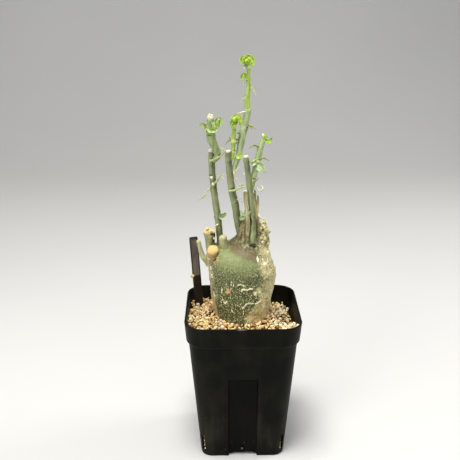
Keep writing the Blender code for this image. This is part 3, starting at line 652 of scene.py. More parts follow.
# Painted shade: dark brown in the pocket at the centre stem's foot and along the creases under the knob.
colour = hide.mixed((dirt_and_shade_mark + (fine - 0.5) * 0.5).over(0.25, 0.8) * 0.9, colour, (46, 34, 22))
colour = hide.mixed((peach_mark + (fine - 0.5) * 0.5).over(0.3, 0.65), colour, (216, 170, 112))
colour = hide.mixed((scar_mark + (fine - 0.5) * 0.9).over(0.3, 0.6), colour, (242, 232, 196))
relief = fine * 0.4 + tiny * 0.2 + dots * 0.8 + small_dots * 0.4 + long * wooded * 1.6 + edge * fine * 0.9
CAUDEX_SKIN = hide.wear(colour, 0.48 + 0.12 * fine + 0.2 * edge + 0.1 * wooded, relief, 0.75 * MM)
print("caudex skin nodes", len(hide.tree.nodes))

# %% [markdown]
# ## The caudex
#
# Its shape is an oval that changes with height, so a table of sections with a smooth curve
# through it gives the whole body, and an angle and a height give any point. Lumps, warts, cork
# ridges, striations and the healed scars are pushed along the surface's own normals. Scars are
# short strokes: the distance from every point to a stroke gives both its ridge and its mark.

# %% The body of the caudex
SECTIONS = [
    (-42.0, -0.5, -2.0, 7.0, 8.0), (-34.0, -0.5, -3.0, 13.0, 15.0), (-22.0, -0.5, -3.5, 18.0, 23.0), (-11.0,
    -0.8, -4.5, 20.3, 26.5), (-4.0, -0.8, -4.5, 21.0, 27.0), (5.0, -0.6, -4.0, 22.6, 27.0), (14.0, -0.5,
    -3.5, 24.3, 26.5), (23.0, -0.5, -3.0, 25.6, 26.0), (31.0, -0.8, -3.0, 26.3, 25.5), (39.0, -1.4, -3.0,
    26.2, 25.0), (45.0, -2.3, -2.5, 25.2, 23.5), (50.0, -1.5, -2.0, 21.5, 21.0), (54.0, 1.0, -1.5, 15.6,
    17.5), (57.0, 2.7, -1.0, 11.0, 14.0), (60.0, 3.8, -1.0, 8.8, 11.5), (64.0, 4.3, -1.0, 7.8, 9.8), (69.0,
    4.6, -1.5, 6.9, 8.8), (73.0, 4.7, -2.0, 5.7, 7.5), (75.0, 4.6, -2.0, 3.5, 4.0),
]
profile = spline(SECTIONS, 250)
angle = np.linspace(0, 2 * np.pi, 330, endpoint=False)
high, cx, cy, rx, ry = (profile[:, i, None] for i in range(5))
body = np.stack([cx + rx * np.cos(angle), cy + ry * np.sin(angle), high + 0 * angle], axis=-1)
along = np.gradient(body, axis=0)
around = np.roll(body, -1, axis=1) - np.roll(body, 1, axis=1)
normal = np.cross(around, along)
normal /= np.maximum(np.linalg.norm(normal, axis=-1, keepdims=True), 1e-9)
X, Y, H = body[..., 0], body[..., 1], body[..., 2]
front = eased(-Y, 2, 12)
print("caudex grid", body.shape, "widest", round(float(np.ptp(X)), 1), "mm")


# %% Strokes for scars
def stroke(points, width):
    """1 on a polyline over (x, height), 0 past `width` millimetres from it and at the back."""
    nearest = np.full(X.shape, 1e9)
    place = np.stack([X, H], axis=-1)
    for a, b in zip(np.array(points[:-1], float), np.array(points[1:], float)):
        share = np.clip(((place - a) @ (b - a)) / max((b - a) @ (b - a), 1e-9), 0, 1)
        nearest = np.minimum(nearest, np.linalg.norm(place - a - share[..., None] * (b - a), axis=-1))
    ragged = nearest + 0.35 * grain(body, 0.9, 5)
    return (1 - eased(ragged, 0.2 * width, width)) * front


scar = np.zeros(X.shape)
for width, line in (
    (0.65, [(-4.2, 28.8), (-2.0, 29.3), (0.4, 28.3)]),
    (0.95, [(-1.4, 23.8), (-0.6, 25.6), (1.2, 25.4), (3.2, 25.0), (5.0, 26.0), (7.0, 25.6)]),
    (0.65, [(-0.5, 10.4), (0.4, 11.8), (1.8, 12.5), (2.0, 14.2), (6.3, 14.0), (9.7, 13.6), (13.2, 14.8)]),
    (0.55, [(-9.0, 31.7), (-9.5, 24.8)]),
    (0.5, [(-12.8, 29.3), (-13.3, 25.6)]),
    (0.5, [(-7.2, 31.4), (-7.5, 27.6)]),
    (0.55, [(-16.4, 24.0), (-16.6, 19.6)]),
    (0.6, [(-15.8, 15.2), (-14.0, 12.8), (-12.4, 14.9)]),
    (0.9, [(10.2, 48.3), (10.9, 45.3)]),
    (1.2, [(14.8, 46.0), (17.2, 42.4), (19.7, 41.5), (19.5, 44.6)]),
    (1.0, [(-23.9, 39.4), (-23.7, 37.4)]),
    (1.0, [(-23.3, 33.2), (-23.0, 30.8)]),
    (0.8, [(-22.2, 17.6), (-21.8, 15.4)]),
    (0.5, [(-8.9, 9.5), (-8.6, 7.6)]),
    (0.5, [(-0.4, 18.0), (-0.2, 15.4)]),
    (0.5, [(0.0, 8.6), (0.1, 4.4)]),
    (0.8, [(11.6, 21.1), (12.4, 22.4)]),
    (0.9, [(9.6, 22.8), (8.4, 20.6), (9.6, 19.9)]),
):
    scar = np.maximum(scar, stroke(line, width) * (0.75 if width < 0.6 else 1.1))
peach = stroke([(-13.1, 21.5), (-10.8, 22.2), (-11.8, 24.2), (-12.4, 22.4)], 1.5)
peach = np.maximum(peach, stroke([(8.2, 22.4), (9.0, 21.2)], 1.7))
mauve = stroke([(-8.4, 55.0), (-2.2, 52.2), (3.9, 50.3), (9.6, 47.4)], 5.0)
# Painted shade: a dark spot in the pocket at the centre stem's foot, and dark lines along two creases under
# the knob. Both are also pushed in a little.
dirt = 0.75 * stroke([(5.2, 56.0), (8.8, 54.8)], 1.5)
for crease in ([(-26.3, 46.7), (-23.6, 46.8), (-20.2, 48.3)], [(-26.7, 44.6), (-23.8, 44.6), (-20.8, 45.9)]):
    dirt = np.maximum(dirt, 0.8 * stroke(crease, 1.1))
print("share of the surface that is scarred", round(float(scar.mean()), 4))

# %% Zones, relief and the finished caudex
ragged = 3.0 * grain(body, 7, 2) + 1.2 * grain(body, 2.4, 3)
turned = np.arctan2(Y + 3, X + 0.5)
cork_line = np.interp(H, [-5, 4, 11, 21, 30, 38, 45, 52, 60, 75], [3, 4, 7, 12, 12.8, 12.5, 12.5, 11.5, 9, 9])
cork = eased(X - cork_line + ragged, -4, 4)
low = 1 - eased(H + 2 * ragged, 4, 20)
left_edge = eased(-X - np.interp(H, [0, 20, 45], [17.5, 20.5, 22.5]) + 0.6 * ragged, -1, 2) * 0.62
back = eased(Y, 0, 14) * 0.55
left_edge = left_edge * (1 + 0.4 * low)
under_knob = 0.9 * stroke([(-26, 45.6), (-20.6, 46.0)], 5.0)
cork = np.clip(np.maximum.reduce([cork, left_edge, back, under_knob]), 0, 1)
neck = eased(H + 0.25 * (X + 6) + 0.6 * ragged, 51, 58) * (1 - 0.5 * eased(X, 9, 13))
smooth_top = eased(H + 0.7 * ragged, 34, 46) * (1 - eased(np.abs(X + 3), 12, 19)) * front
warty = (1 - 0.8 * smooth_top) * (0.6 + 0.4 * (1 - eased(H, 18, 40)))
lumps = 0.75 * grain(body, 13, 7) + 0.32 * grain(body, 5, 8)
warts = 0.16 * np.clip(grain(body, 1.5, 9) * 2.2, 0, 1) * warty
knobs = (0.7 * grain(body, 4.0, 11) + 0.35 * grain(body, 1.7, 12)) * cork
stripes = neck * (0.3 * np.sin(11 * turned + 0.15 * H) + 0.25 * grain(body * [1, 1, 0.25], 1.6, 13))
shoulder = 1.5 * np.exp(-(((X + 18) / 6) ** 2 + ((Y + 12) / 7) ** 2 + ((H - 42) / 9) ** 2))
folds = -0.35 * (np.exp(-(((H - 43.5) / 0.7) ** 2)) + np.exp(-(((H - 41.2) / 0.7) ** 2)))
folds = folds * eased(-X, 16, 20) * front
dip = -3.0 * np.exp(-(((X + 12) / 5) ** 2 + ((H - 56) / 5) ** 2))
waist = -2.2 * np.exp(-(((X - 23) / 7) ** 2 + ((H - 41.5) / 6) ** 2))
push = lumps + warts + knobs + stripes + shoulder + folds + dip + waist
push = push + 0.3 * scar + 0.3 * peach - 1.2 * dirt
push = push * eased(H, -40, -30) * (1 - eased(H, 72, 74.5))
body = (body + normal * push[..., None]) * MM + [0, 0, RIM]
caudex_marks = dict(cork=cork, warty=warty, neck=neck, low=low, scar=scar)
caudex_marks |= dict(peach=peach, mauve=mauve, dirt=dirt, tan=under_knob)
piece("caudex_body", [skin(body, **caudex_marks)], CAUDEX_SKIN, "skin", "caudex")

# %% [markdown]
# ## Skins of the stems
#
# Old stems are blue-green with a waxy bloom, finely streaked along their length, and end in
# white callus where they were pruned. The bloom is laid on the front-left side only, so it is
# also a painted highlight. Fresh shoots are the same plant, only lighter and yellower, and the
# dead sheaths are bleached tan. One recipe makes them all: colours go in, and streaks, flecks,
# cut faces and nodes come from noise and marks, as do dark patches that are partly stains and
# partly painted shade.


# %% One recipe for every stem
def stem_finish(name, deep, light, callus, streaks=0.6, sheen=0.38, rough=0.5, depth=0.25 * MM, waxy_highlight=1.0):
    bark = Finish(name, Specular_IOR_Level=sheen, Subsurface_Weight=0.1, Subsurface_Scale=0.8 * MM)
    run = bark.noise(1.6 * MM, 4, (1, 1, 0.12))
    blotch = bark.noise(6 * MM, 3)
    fleck = bark.cells(1.3 * MM).over(0.2, 0.1) * blotch.over(0.4, 0.6)
    pores = bark.noise(0.5 * MM, 3)
    base = bark.mixed((run * streaks + blotch * (1 - streaks)).over(0.3, 0.7), deep, light)
    # Pale waxy bloom, laid only on the side facing front left: a painted highlight as well as wax.
    base = bark.mixed(bark.mark("bloom") * waxy_highlight * (0.4 + 0.6 * blotch), base, (168, 180, 140))
    base = bark.mixed(fleck * 0.5, base, (190, 192, 144))
    base = bark.mixed((bark.mark("node") + (pores - 0.5) * 0.5).over(0.35, 0.75), base, (196, 200, 132))
    # Dark brown patches: real stains on some stems, painted shade in grooves, folds and the pocket at the
    # centre stem's foot.
    base = bark.mixed((bark.mark("dirt") + (pores - 0.5) * 0.5).over(0.3, 0.8) * 0.9, base, (52, 44, 28))
    end = (bark.mark("cut") + (pores - 0.5) * 0.35).over(0.35, 0.65)
    face = bark.mixed(pores.over(0.35, 0.65), callus, (*(0.72 * c for c in paint(*callus)[:3]), 1.0))
    base = bark.mixed(end, base, face)
    return bark.wear(base, rough + 0.15 * pores + 0.25 * end, run * 0.7 + pores * 0.3 + fleck * 0.4, depth)


OLD_STEM = stem_finish("old_stem", (80, 88, 52), (134, 140, 92), (236, 232, 208))
NECK_WOOD = stem_finish(
    "neck_wood", (76, 64, 42), (150, 140, 98), (200, 190, 150), 0.9, 0.25, 0.65, 0.4 * MM,
    0.1,
)
FRESH_SHOOT = stem_finish("fresh_shoot", (122, 140, 86), (172, 188, 126), (232, 230, 196))
WAXY_SHOOT = stem_finish("waxy_shoot", (130, 146, 98), (182, 196, 146), (232, 230, 196))
LIME_SHOOT = stem_finish("lime_shoot", (128, 158, 34), (182, 206, 72), (220, 230, 150), depth=0.12 * MM)
PALE_STUB = stem_finish("pale_stub", (154, 152, 104), (206, 200, 150), (218, 212, 172), waxy_highlight=0.4)
SHOULDER_STUB = stem_finish("shoulder_stub", (108, 112, 66), (166, 162, 106), (232, 206, 150))
KNOB_BARK = stem_finish(
    "knob_bark", (104, 96, 54), (206, 180, 122), (230, 194, 130), 0.4, 0.25, 0.65, 0.5 * MM,
    0.3,
)
DRY_SHEATH = stem_finish(
    "dry_sheath", (134, 122, 82), (204, 192, 148), (236, 228, 194), 0.8, 0.2, 0.75, waxy_highlight=0.3,
)
PAPERY = stem_finish("papery", (190, 180, 146), (240, 232, 208), (240, 234, 214), 0.8, 0.2, 0.7)
print("stem finishes made")


# %% [markdown]
# ## Stems
#
# A stem is a circle carried along a curve. Its radius is a smooth line through a few values,
# roughened by noise and ribs, widened at the foot where it leaves the body, and swollen on one
# side at each node. A pruned end closes with a slightly domed callus, a growing end runs round.


# %% Circles carried along a curve
CAPS = {
    "cut": (
        np.array([1.0, 0.97, 0.9, 0.8, 0.62, 0.4, 0.15]),
        np.array([0.1, 0.2, 0.26, 0.27, 0.3, 0.31, 0.28]),
    ),
    "dome": (np.cos(np.linspace(0.25, 1.45, 9)) ** 0.8, 0.5 * np.sin(np.linspace(0.25, 1.45, 9))),
    "round": (np.cos(np.linspace(0.2, 1.45, 7)), np.sin(np.linspace(0.2, 1.45, 7))),
}


def frames(line):
    """Forward, side and front unit vectors at each point of a line."""
    forward = np.gradient(line, axis=0)
    forward /= np.linalg.norm(forward, axis=1, keepdims=True)
    flat = np.eye(3)[np.argmin(np.abs(forward).sum(0))]
    side = np.cross(forward, flat)
    side /= np.linalg.norm(side, axis=1, keepdims=True)
    return forward, side, np.cross(side, forward)


def toward(heading):
    return np.array([math.cos(math.radians(heading)), math.sin(math.radians(heading)), 0])


def stem(
    route,
    radii,
    cap="cut",
    foot=0,
    nodes=(),
    stains_and_shade=(),
    rib=0.03,
    rough=0.05,
    lump=2.6,
    ragged=0,
    sides=26,
    step=0.55,
    seed=0,
    dirt=0,
):
    """A stem along a route in millimetres: centre + radius * (side cos a + front sin a).

    `foot` is how much wider it is at its base. `nodes` are (share, rise, heading) of swellings and
    `stains_and_shade` (share, heading, reach in mm) of dark patches, which are real stains on some
    stems and painted shade in grooves and folds on others; a heading, in degrees seen from above,
    puts one on that side only. `ragged` millimetres of noise tear the end up and down. The foot
    can be darkened as painted shade where it sits in a pocket.
    """
    route = np.array([at(*point) for point in route])
    length = np.linalg.norm(np.diff(route, axis=0), axis=1).sum()
    count = max(6, int(length / (step * MM)))
    line = spline(route, count)
    forward, side, ahead = frames(line)
    share = np.linspace(0, 1, count)
    radius = spline(np.c_[np.linspace(0, 1, len(radii)), radii], count)[:, 1] * MM
    radius *= 1 + foot * np.exp(-share * length / (3.2 * MM))
    factor, forth = CAPS[cap]
    line = np.vstack([line, line[-1] + forward[-1] * radius[-1] * forth[:, None]])
    forward, side, ahead = (np.vstack([v, np.repeat(v[-1:], len(factor), 0)]) for v in (forward, side, ahead))
    radius = np.concatenate([radius, radius[-1] * factor])
    share = np.concatenate([share, np.ones(len(factor))])[:, None]
    angle = np.linspace(0, 2 * np.pi, sides, endpoint=False)
    out = side[:, None] * np.cos(angle)[:, None] + ahead[:, None] * np.sin(angle)[:, None]
    place = line[:, None] + out * radius[:, None, None]
    scale = 1 + rib * np.cos(5 * angle + 4 * share) + rough * grain(place, lump * MM, seed)
    scale = scale + 0.5 * rough * grain(place, 0.9 * MM, seed + 1)
    node, dark = np.zeros(scale.shape), np.zeros(scale.shape)
    for where, rise, heading in nodes:
        ring = np.exp(-(((share - where) * length / (1.5 * MM)) ** 2))
        if heading is not None:
            facing = np.clip(out @ toward(heading), 0, 1)
            ring = ring * facing**1.5
            dark = np.maximum(dark, np.exp(-(((share - where) * length / (0.8 * MM) - 1.6) ** 2)) * facing**3)
        scale = scale + rise * ring
        node = np.maximum(node, ring * min(1, 3 * rise))
    for where, heading, reach in stains_and_shade:
        spread = np.exp(-(((share - where) * length / (reach * MM)) ** 2))
        dark = np.maximum(dark, spread * np.clip(out @ toward(heading), 0, 1) ** 1.5)
    ends = np.zeros(scale.shape)
    if cap != "round":
        ends[count:] = 1.0
        ends = np.maximum(ends, eased(share * length, length - 1.2 * MM, length - 0.4 * MM) * 0.8)
    # Only the side facing front left gets the bloom: painted highlight.
    bloom = 0.5 * eased(out @ np.array([-0.6, -0.5, 0]), 0.1, 0.8)
    # Darker at the foot, used on the centre stem: painted shade of the pocket it sits in.
    foot_shade = dirt * np.exp(-share * length / (2.0 * MM)) + 0 * angle
    points = line[:, None] + out * (radius[:, None] * scale)[..., None]
    torn = ragged * MM * grain(points, 2.2 * MM, seed + 2) * eased(share, 1 - 2.5 * MM / length, 1)
    points = points + forward[:, None] * torn[..., None]
    return skin(points, cut=ends, node=node, bloom=bloom, dirt=np.maximum(foot_shade, 0.9 * dark))


print("ends of a stem", sorted(CAPS))


# %% The three old stems
left = stem(
    [(-16, 1, 44), (-16.8, 0.6, 50.4), (-17.7, 0.4, 59.4), (-18.8, 0.5, 71.4), (-21.0, 2, 87),
    (-22.6, 3, 100.9), (-23.4, 3, 111.8), (-23.6, 3, 125.2)], (2.7, 2.6, 2.55, 2.6, 2.55, 2.5, 2.5, 2.45),
    foot=0.35, nodes=((0.31, 0.14, -30), (0.36, 0.1, 200), (0.63, 0.2, 190), (0.7, 0.22, -60),
    (0.76, 0.24, -120), (0.94, 0.12, None)), seed=1,
)
front_stem = stem(
    [(0.4, -3.0, 55), (-1.4, -3.8, 61), (-2.7, -5, 66), (-4.1, -6.4, 73.9), (-5.2, -7.4, 81.8),
    (-6.4, -7.4, 88), (-8.5, -7, 97.1), (-10.3, -6, 112.2), (-10.9, -6, 119.8), (-11.3, -6, 126.5)], (2.8,
    2.8, 2.8, 2.8, 2.8, 2.8, 2.75, 2.5, 2.25), foot=0.3, nodes=((0.44, 0.1, -60), (0.6, 0.16, -70),
    (0.78, 0.14, 20), (0.9, 0.1, None)), seed=2,
)
# The centre stem's dark patch on its left side and its darkened foot are painted shade: the groove beside it
# and the pocket at its foot.
centre = stem(
    [(7.6, -14.2, 56.2), (7.5, -13.6, 58.4), (7.5, -12.8, 61.4), (7.8, -10.8, 66.6), (7.3, -8, 77.8),
    (6.1, -6.5, 89), (4.4, -5, 104.3), (3.1, -5, 114.2), (1.8, -5, 122.2)], (1.9, 2.05, 2.2, 2.3, 2.35, 2.3,
    2.2, 2.1, 1.95), nodes=((0.29, 0.12, -60), (0.57, 0.08, 20), (0.7, 0.12, 30), (0.95, 0.1, None)),
    stains_and_shade=((0.26, -150, 4.2), ), seed=3, dirt=0.9,
)
piece("stem_left_old", [left], OLD_STEM, "stem", "stem_left")
piece("stem_front_old", [front_stem], OLD_STEM, "stem", "stem_front")
piece("stem_centre_old", [centre], OLD_STEM, "stem", "stem_centre")

# %% Fresh shoots
tall = stem(
    [(-8.2, -6, 108.5), (-7.2, -5, 111.2), (-5.3, -4, 117), (-3.4, -3, 122.2), (-2.2, -1.5, 128),
    (-0.2, 0, 139), (2.0, 1.5, 148.3), (3.8, 2, 155.6)], (1.5, 1.8, 2.1, 2.45, 2.7, 2.9, 2.95, 2.4),
    "round", nodes=((0.28, 0.2, -60), (0.72, 0.16, -30), (0.95, 0.12, 200)), seed=4,
)
left_shoot = stem(
    [(-21.8, 1.5, 117.5), (-19.8, 0, 120.5), (-19.0, 0, 123.2), (-20.8, -1, 128), (-23.2, -2, 134),
    (-24.4, -3, 141), (-24.1, -4, 147.7), (-24.0, -4, 151.4)], (2.0, 2.7, 3.1, 3.3, 3.4, 3.3, 2.6, 2.3),
    nodes=((0.14, 0.15, -60), (0.7, 0.1, -20), (0.9, 0.1, 200)), stains_and_shade=((0.72, -130, 0.7),
    (0.64, -110, 0.6)), ragged=1.0, seed=5, rough=0.1,
)
right = stem(
    [(5.2, -4.6, 94.5), (6.1, -4, 96.3), (8, -3, 105.3), (9.5, -1, 112.6), (11, 0, 118.5), (12.8, 1, 126),
    (15, 2, 133.3), (16.1, 2, 137)], (1.8, 2.1, 2.35, 2.45, 2.35, 2.2, 2.1, 1.9), nodes=((0.22, 0.16, -90),
    (0.55, 0.3, -60), (0.76, 0.2, 200), (0.93, 0.2, -20)), seed=6,
)
piece("shoot_tall", [tall], WAXY_SHOOT, "shoot", "stem_tall")
piece("shoot_left_top", [left_shoot], FRESH_SHOOT, "shoot", "shoot_left")
piece("shoot_right", [right], FRESH_SHOOT, "shoot", "stem_right")
tip = stem(
    [(3.5, 2, 154.5), (3.6, 2, 157), (3.1, 2, 164.4), (3.7, 2, 173.8), (3.9, 2, 183), (3, 2, 190)], (2.2,
    1.8, 1.5, 1.45, 1.35, 1.3, 1.5), "round", nodes=((0.08, 0.2, 180), (0.3, 0.15, 190), (0.52, 0.25, 0),
    (0.66, 0.25, 190), (0.9, 0.4, None)), seed=7,
)
small = stem(
    [(-9.6, -6, 119.2), (-8.2, -5.4, 121.4), (-7.5, -5, 127), (-7.3, -5, 134.5), (-6.8, -5, 142),
    (-6.5, -5.5, 147)], (1.3, 1.6, 1.6, 1.6, 1.5, 1.5), "round", nodes=((0.25, 0.3, -60),
    (0.52, 0.35, None), (0.75, 0.2, 30), (0.9, 0.3, None)), seed=8,
)
piece("shoot_tip_lime", [tip], LIME_SHOOT, "shoot", "shoot_tip")
piece("shoot_small_lime", [small], LIME_SHOOT, "shoot", "shoot_small")

# %% [markdown]
# ## Stubs and the corky ridge
#
# Where earlier stems were cut, short stubs healed over: two are blunt fingers, one ends in a
# ragged orange rim, and one faces forward as a flat peach disc with folds beneath it. On the
# right an old ridge of cork climbs the neck, knobbly and cracked across. The dry stub grows out
# of a fibrous wedge of wood, a wide stem with strong ribs that is sunk into the neck.

# %% Stubs and ridge
outer = stem(
    [(-25.5, 1, 36), (-28.4, 0.6, 39), (-30.1, 0, 40.8), (-31.6, 0, 43.4), (-33, 0, 48.6),
    (-34.3, 0, 54.0)], (2.7, 2.2, 1.95, 1.8, 1.75, 1.65), "round", foot=0.4, nodes=((0.98, 0.05, None), ),
    seed=9,
)
cut_left = stem(
    [(-22.4, -4, 40), (-24.3, -4, 46), (-24.8, -4, 52), (-25.3, -4, 58), (-25.8, -4, 63.6)], (3.6, 3.3, 3.3,
    3.6, 4.2), "dome", foot=0.2, nodes=((0.84, 0.1, None), ), stains_and_shade=((0.97, -5, 3.6), (0.72, -20, 2.6),
    (0.98, 120, 2.0)), rough=0.14, ragged=1.6, sides=40, step=0.4, seed=10,
)
# The knob's two dark patches on its front are painted shade in its folds.
knob = stem(
    [(-18.5, -9.5, 38), (-20.8, -12, 44), (-22.4, -14.6, 49.6), (-23, -16.6, 52.8)], (4.8, 4.6, 4.2, 4.2),
    "dome", foot=0.15, nodes=((0.48, -0.14, None), (0.68, -0.16, None), (0.86, 0.06, None)),
    stains_and_shade=((0.76, -100, 0.6), (0.89, -100, 0.55)), rough=0.08, ragged=0.5, sides=40, step=0.4, seed=11,
)
blunt = stem(
    [(-13.4, -6.5, 44), (-14.6, -8.4, 49.5), (-15, -9, 55), (-15.2, -9, 59.6)], (3.4, 3.0, 2.9, 2.8),
    "round", foot=0.45, nodes=((1.0, 0.08, None), ), seed=12,
)
ridge = stem(
    [(14.0, -3.4, 36), (14.8, -3.6, 44), (15.0, -3.4, 52), (15.3, -3.0, 59), (15.5, -2.6, 65),
    (15.4, -2.4, 68.0)], (5.4, 6.2, 5.8, 5.1, 4.3, 3.0), "round", nodes=((0.4, 0.16, -60),
    (0.62, 0.14, -30), (0.78, -0.14, None), (0.9, 0.16, 0)), rough=0.26, lump=4.4, rib=0.05, ragged=1.2,
    sides=60, step=0.4, seed=13,
)
spur_route = [(18.4, -3.2, 61.6), (20.8, -3, 62.6), (21.9, -3, 63.0)]
spur = stem(spur_route, (1.2, 0.8, 0.4), "round", seed=14, sides=12)
tan_stub = stem(
    [(3.4, -10.6, 62), (3.7, -12, 71.9), (2.8, -11, 82.6), (1.9, -10, 90), (1.6, -9, 96.8)], (1.5, 1.5, 1.5,
    1.4, 1.4), foot=0.2, rib=0.08, rough=0.1, sides=18, seed=15,
)
piece("stub_outer", [outer], PALE_STUB, "cork", "stub_outer_left")
piece("stub_ragged", [cut_left], SHOULDER_STUB, "cork", "stub_cut_left")
piece("stub_knob", [knob], KNOB_BARK, "cork", "stub_cut_front")
piece("stub_finger", [blunt], PALE_STUB, "stem", "stub_blunt")
wedge = stem(
    [(1.4, -9.8, 54), (1.0, -8.8, 61), (1.2, -8.8, 67.5), (2.2, -9.6, 73), (2.6, -10.2, 78),
    (2.6, -10.2, 82)], (5.2, 4.7, 4.1, 3.0, 2.1, 1.5), "round", rib=0.1, rough=0.12, sides=60, step=0.4,
    seed=21,
)
piece("stub_dry", [tan_stub], DRY_SHEATH, "dry", "stub_tan")
piece("stub_wedge", [wedge], NECK_WOOD, "skin")

# %% [markdown]
# The ridge has a finish of its own: pale flakes with dark gaps between them, from one noise
# that runs through four colours, with a coarser one to gather the flakes into patches.

# %% Finish of the ridge
ridge_bark = Finish("ridge_cork", Specular_IOR_Level=0.25)
flake = ridge_bark.noise(3.6 * MM, 5, None, 0.5)
pits = ridge_bark.cells(1.4 * MM)
clumps = ridge_bark.noise(6 * MM, 2)
ridge_colour = ridge_bark.ramp(
    flake * 0.7 + clumps * 0.3,
    (0.36, (88, 90, 58)),
    (0.44, (156, 152, 106)),
    (0.53, (212, 204, 156)),
    (0.66, (246, 236, 198)),
)
ridge_colour = ridge_bark.mixed(pits.over(0.5, 0.75) * 0.35, ridge_colour, (128, 110, 72))
RIDGE_CORK = ridge_bark.wear(ridge_colour, 0.7 + 0.2 * flake, flake + 0.5 * pits, 0.6 * MM)
piece("ridge", [ridge, spur], RIDGE_CORK, "cork", "stump_right")

# %% [markdown]
# ## Dry sheaths
#
# Beside the centre stem stand the split remains of a dead branch: a pair of bleached strips
# with a dark slot between them and a small prong, and a papery white ring where a tendril died.

# %% Split sheath, prong and papery ring
strip_a = stem(
    [(10.4, -4, 57), (11.4, -4, 60), (11.7, -4, 68.6), (11.1, -3, 80.3), (9.6, -2, 87.9), (9.3, -2, 96)],
    (1.1, 1.3, 1.2, 1.1, 0.9, 0.7), rib=0.16, rough=0.16, sides=14, seed=16,
)
strip_b = stem(
    [(9.6, -5.4, 60), (10.0, -5.2, 70), (9.9, -4.2, 80), (8.4, -3, 88), (7.8, -2.6, 93.4)], (0.7, 0.8, 0.8,
    0.7, 0.5), rib=0.16, rough=0.16, sides=12, seed=17,
)
prong_route = [(11.2, -2.6, 80.6), (11.8, -1.8, 85.4), (11.5, -1, 91.6)]
prong = stem(prong_route, (0.9, 0.8, 0.6), rib=0.1, sides=12, seed=18)
ring = stem(
    [(11.4, -2.6, 99.6), (10.9, -3, 97.6), (12.2, -3.6, 95.8), (14.0, -4, 95.9), (14.9, -4, 97.8),
    (13.9, -3.4, 99.5)], (0.35, 0.6, 0.5, 0.75, 0.5, 0.35), "round", sides=10, seed=19,
)
piece("dry_strips", [strip_a, strip_b], DRY_SHEATH, "dry", "twig_dry_a")
piece("dry_prong", [prong], DRY_SHEATH, "dry", "twig_dry_b")
piece("papery_ring", [ring], PAPERY, "dry")

# %% [markdown]
# ## Leaves
#
# The young leaves are thick, cupped and curled. A blade is a lens-shaped ring carried along its
# midrib: wide one way, thin the other, bent up at its edges by the square of the distance from
# the midrib, with a slow ripple. Both ends close to a point, so each blade is a thin solid. The
# pieces are rows of a table: name, finish, the node it stands for, and its blades. Rough balls
# fill the hearts of the tufts, where folded leaves are too small to tell apart.


# %% Finishes of the leaves
def leaf_finish(name, deep, light, rim):
    blade = Finish(name, Specular_IOR_Level=0.4, Subsurface_Weight=0.2, Subsurface_Scale=0.7 * MM)
    cloud = blade.noise(2.2 * MM, 4)
    vein = blade.mark("vein")
    green = blade.mixed(cloud.over(0.3, 0.7), deep, light)
    green = blade.mixed((1 - vein).over(0.82, 0.98) * 0.6, green, rim)
    green = blade.mixed((blade.mark("edge") + (cloud - 0.5) * 0.4).over(0.72, 0.98) * 0.8, green, rim)
    return blade.wear(green, 0.42 + 0.15 * cloud, cloud + vein * 0.6, 0.2 * MM)


LIME_LEAF = leaf_finish("lime_leaf", (112, 146, 26), (172, 200, 62), (204, 220, 112))
GREEN_LEAF = leaf_finish("green_leaf", (108, 138, 58), (166, 188, 100), (204, 214, 146))
PALE_LEAF = leaf_finish("pale_leaf", (112, 134, 88), (156, 174, 126), (206, 214, 166))
OLIVE_LEAF = leaf_finish("olive_leaf", (70, 76, 22), (126, 138, 48), (178, 194, 90))
print("leaf finishes made")


# %% Blades and lumps

def blade(route, width, facing=(0, -1, 0.3), cup=0.35, thick=0.5, shape=0.8, ripple=0.08, seed=0):
    """A leaf along a midrib in millimetres: midrib + side w cos a + face (t sin a + cup w cos^2 a)."""
    line = spline(np.array([at(*point) for point in route]), 30)
    forward = np.gradient(line, axis=0)
    forward /= np.linalg.norm(forward, axis=1, keepdims=True)
    side = np.cross(forward, np.array(facing, float))
    side /= np.linalg.norm(side, axis=1, keepdims=True)
    face = np.cross(side, forward)
    share = np.linspace(0, 1, 30)
    wide = width / 2 * np.sin(np.pi * np.clip(share, 0.012, 0.988) ** shape) ** 0.75 * MM
    angle = np.linspace(0, 2 * np.pi, 28, endpoint=False)
    a, w = np.cos(angle)[None], wide[:, None]
    thin = thick / 2 * MM * np.minimum(1, w / (0.8 * MM)) * np.sin(angle)
    lift = cup * w * a**2 + ripple * w * np.sin(9 * share[:, None] + 2 * np.sign(a) + seed) * np.abs(a)
    points = line[:, None] + side[:, None] * (w * a)[..., None] + face[:, None] * (thin + lift)[..., None]
    return skin(points, vein=np.abs(a) + 0 * w, edge=np.abs(a) ** 2 + 0 * w)


def lump(place, size, seed, **marks):
    """A roughened ball: size * (cos b cos a, cos b sin a, sin b), times 1 plus noise."""
    turn, tilt = np.linspace(0, 2 * np.pi, 14, endpoint=False), np.linspace(-1.35, 1.35, 9)[:, None]
    flat = np.cos(tilt)
    ball = np.stack([flat * np.cos(turn), flat * np.sin(turn), np.sin(tilt) + 0 * turn], axis=-1)
    rough = 1 + 0.3 * grain(ball + seed, 0.7, seed)
    return skin(ball * size * MM * rough[..., None] + at(*place), **(marks or {"vein": 0.6}))


print("points of a lump", len(lump((0, 0, 0), 1, 0)["points"]))


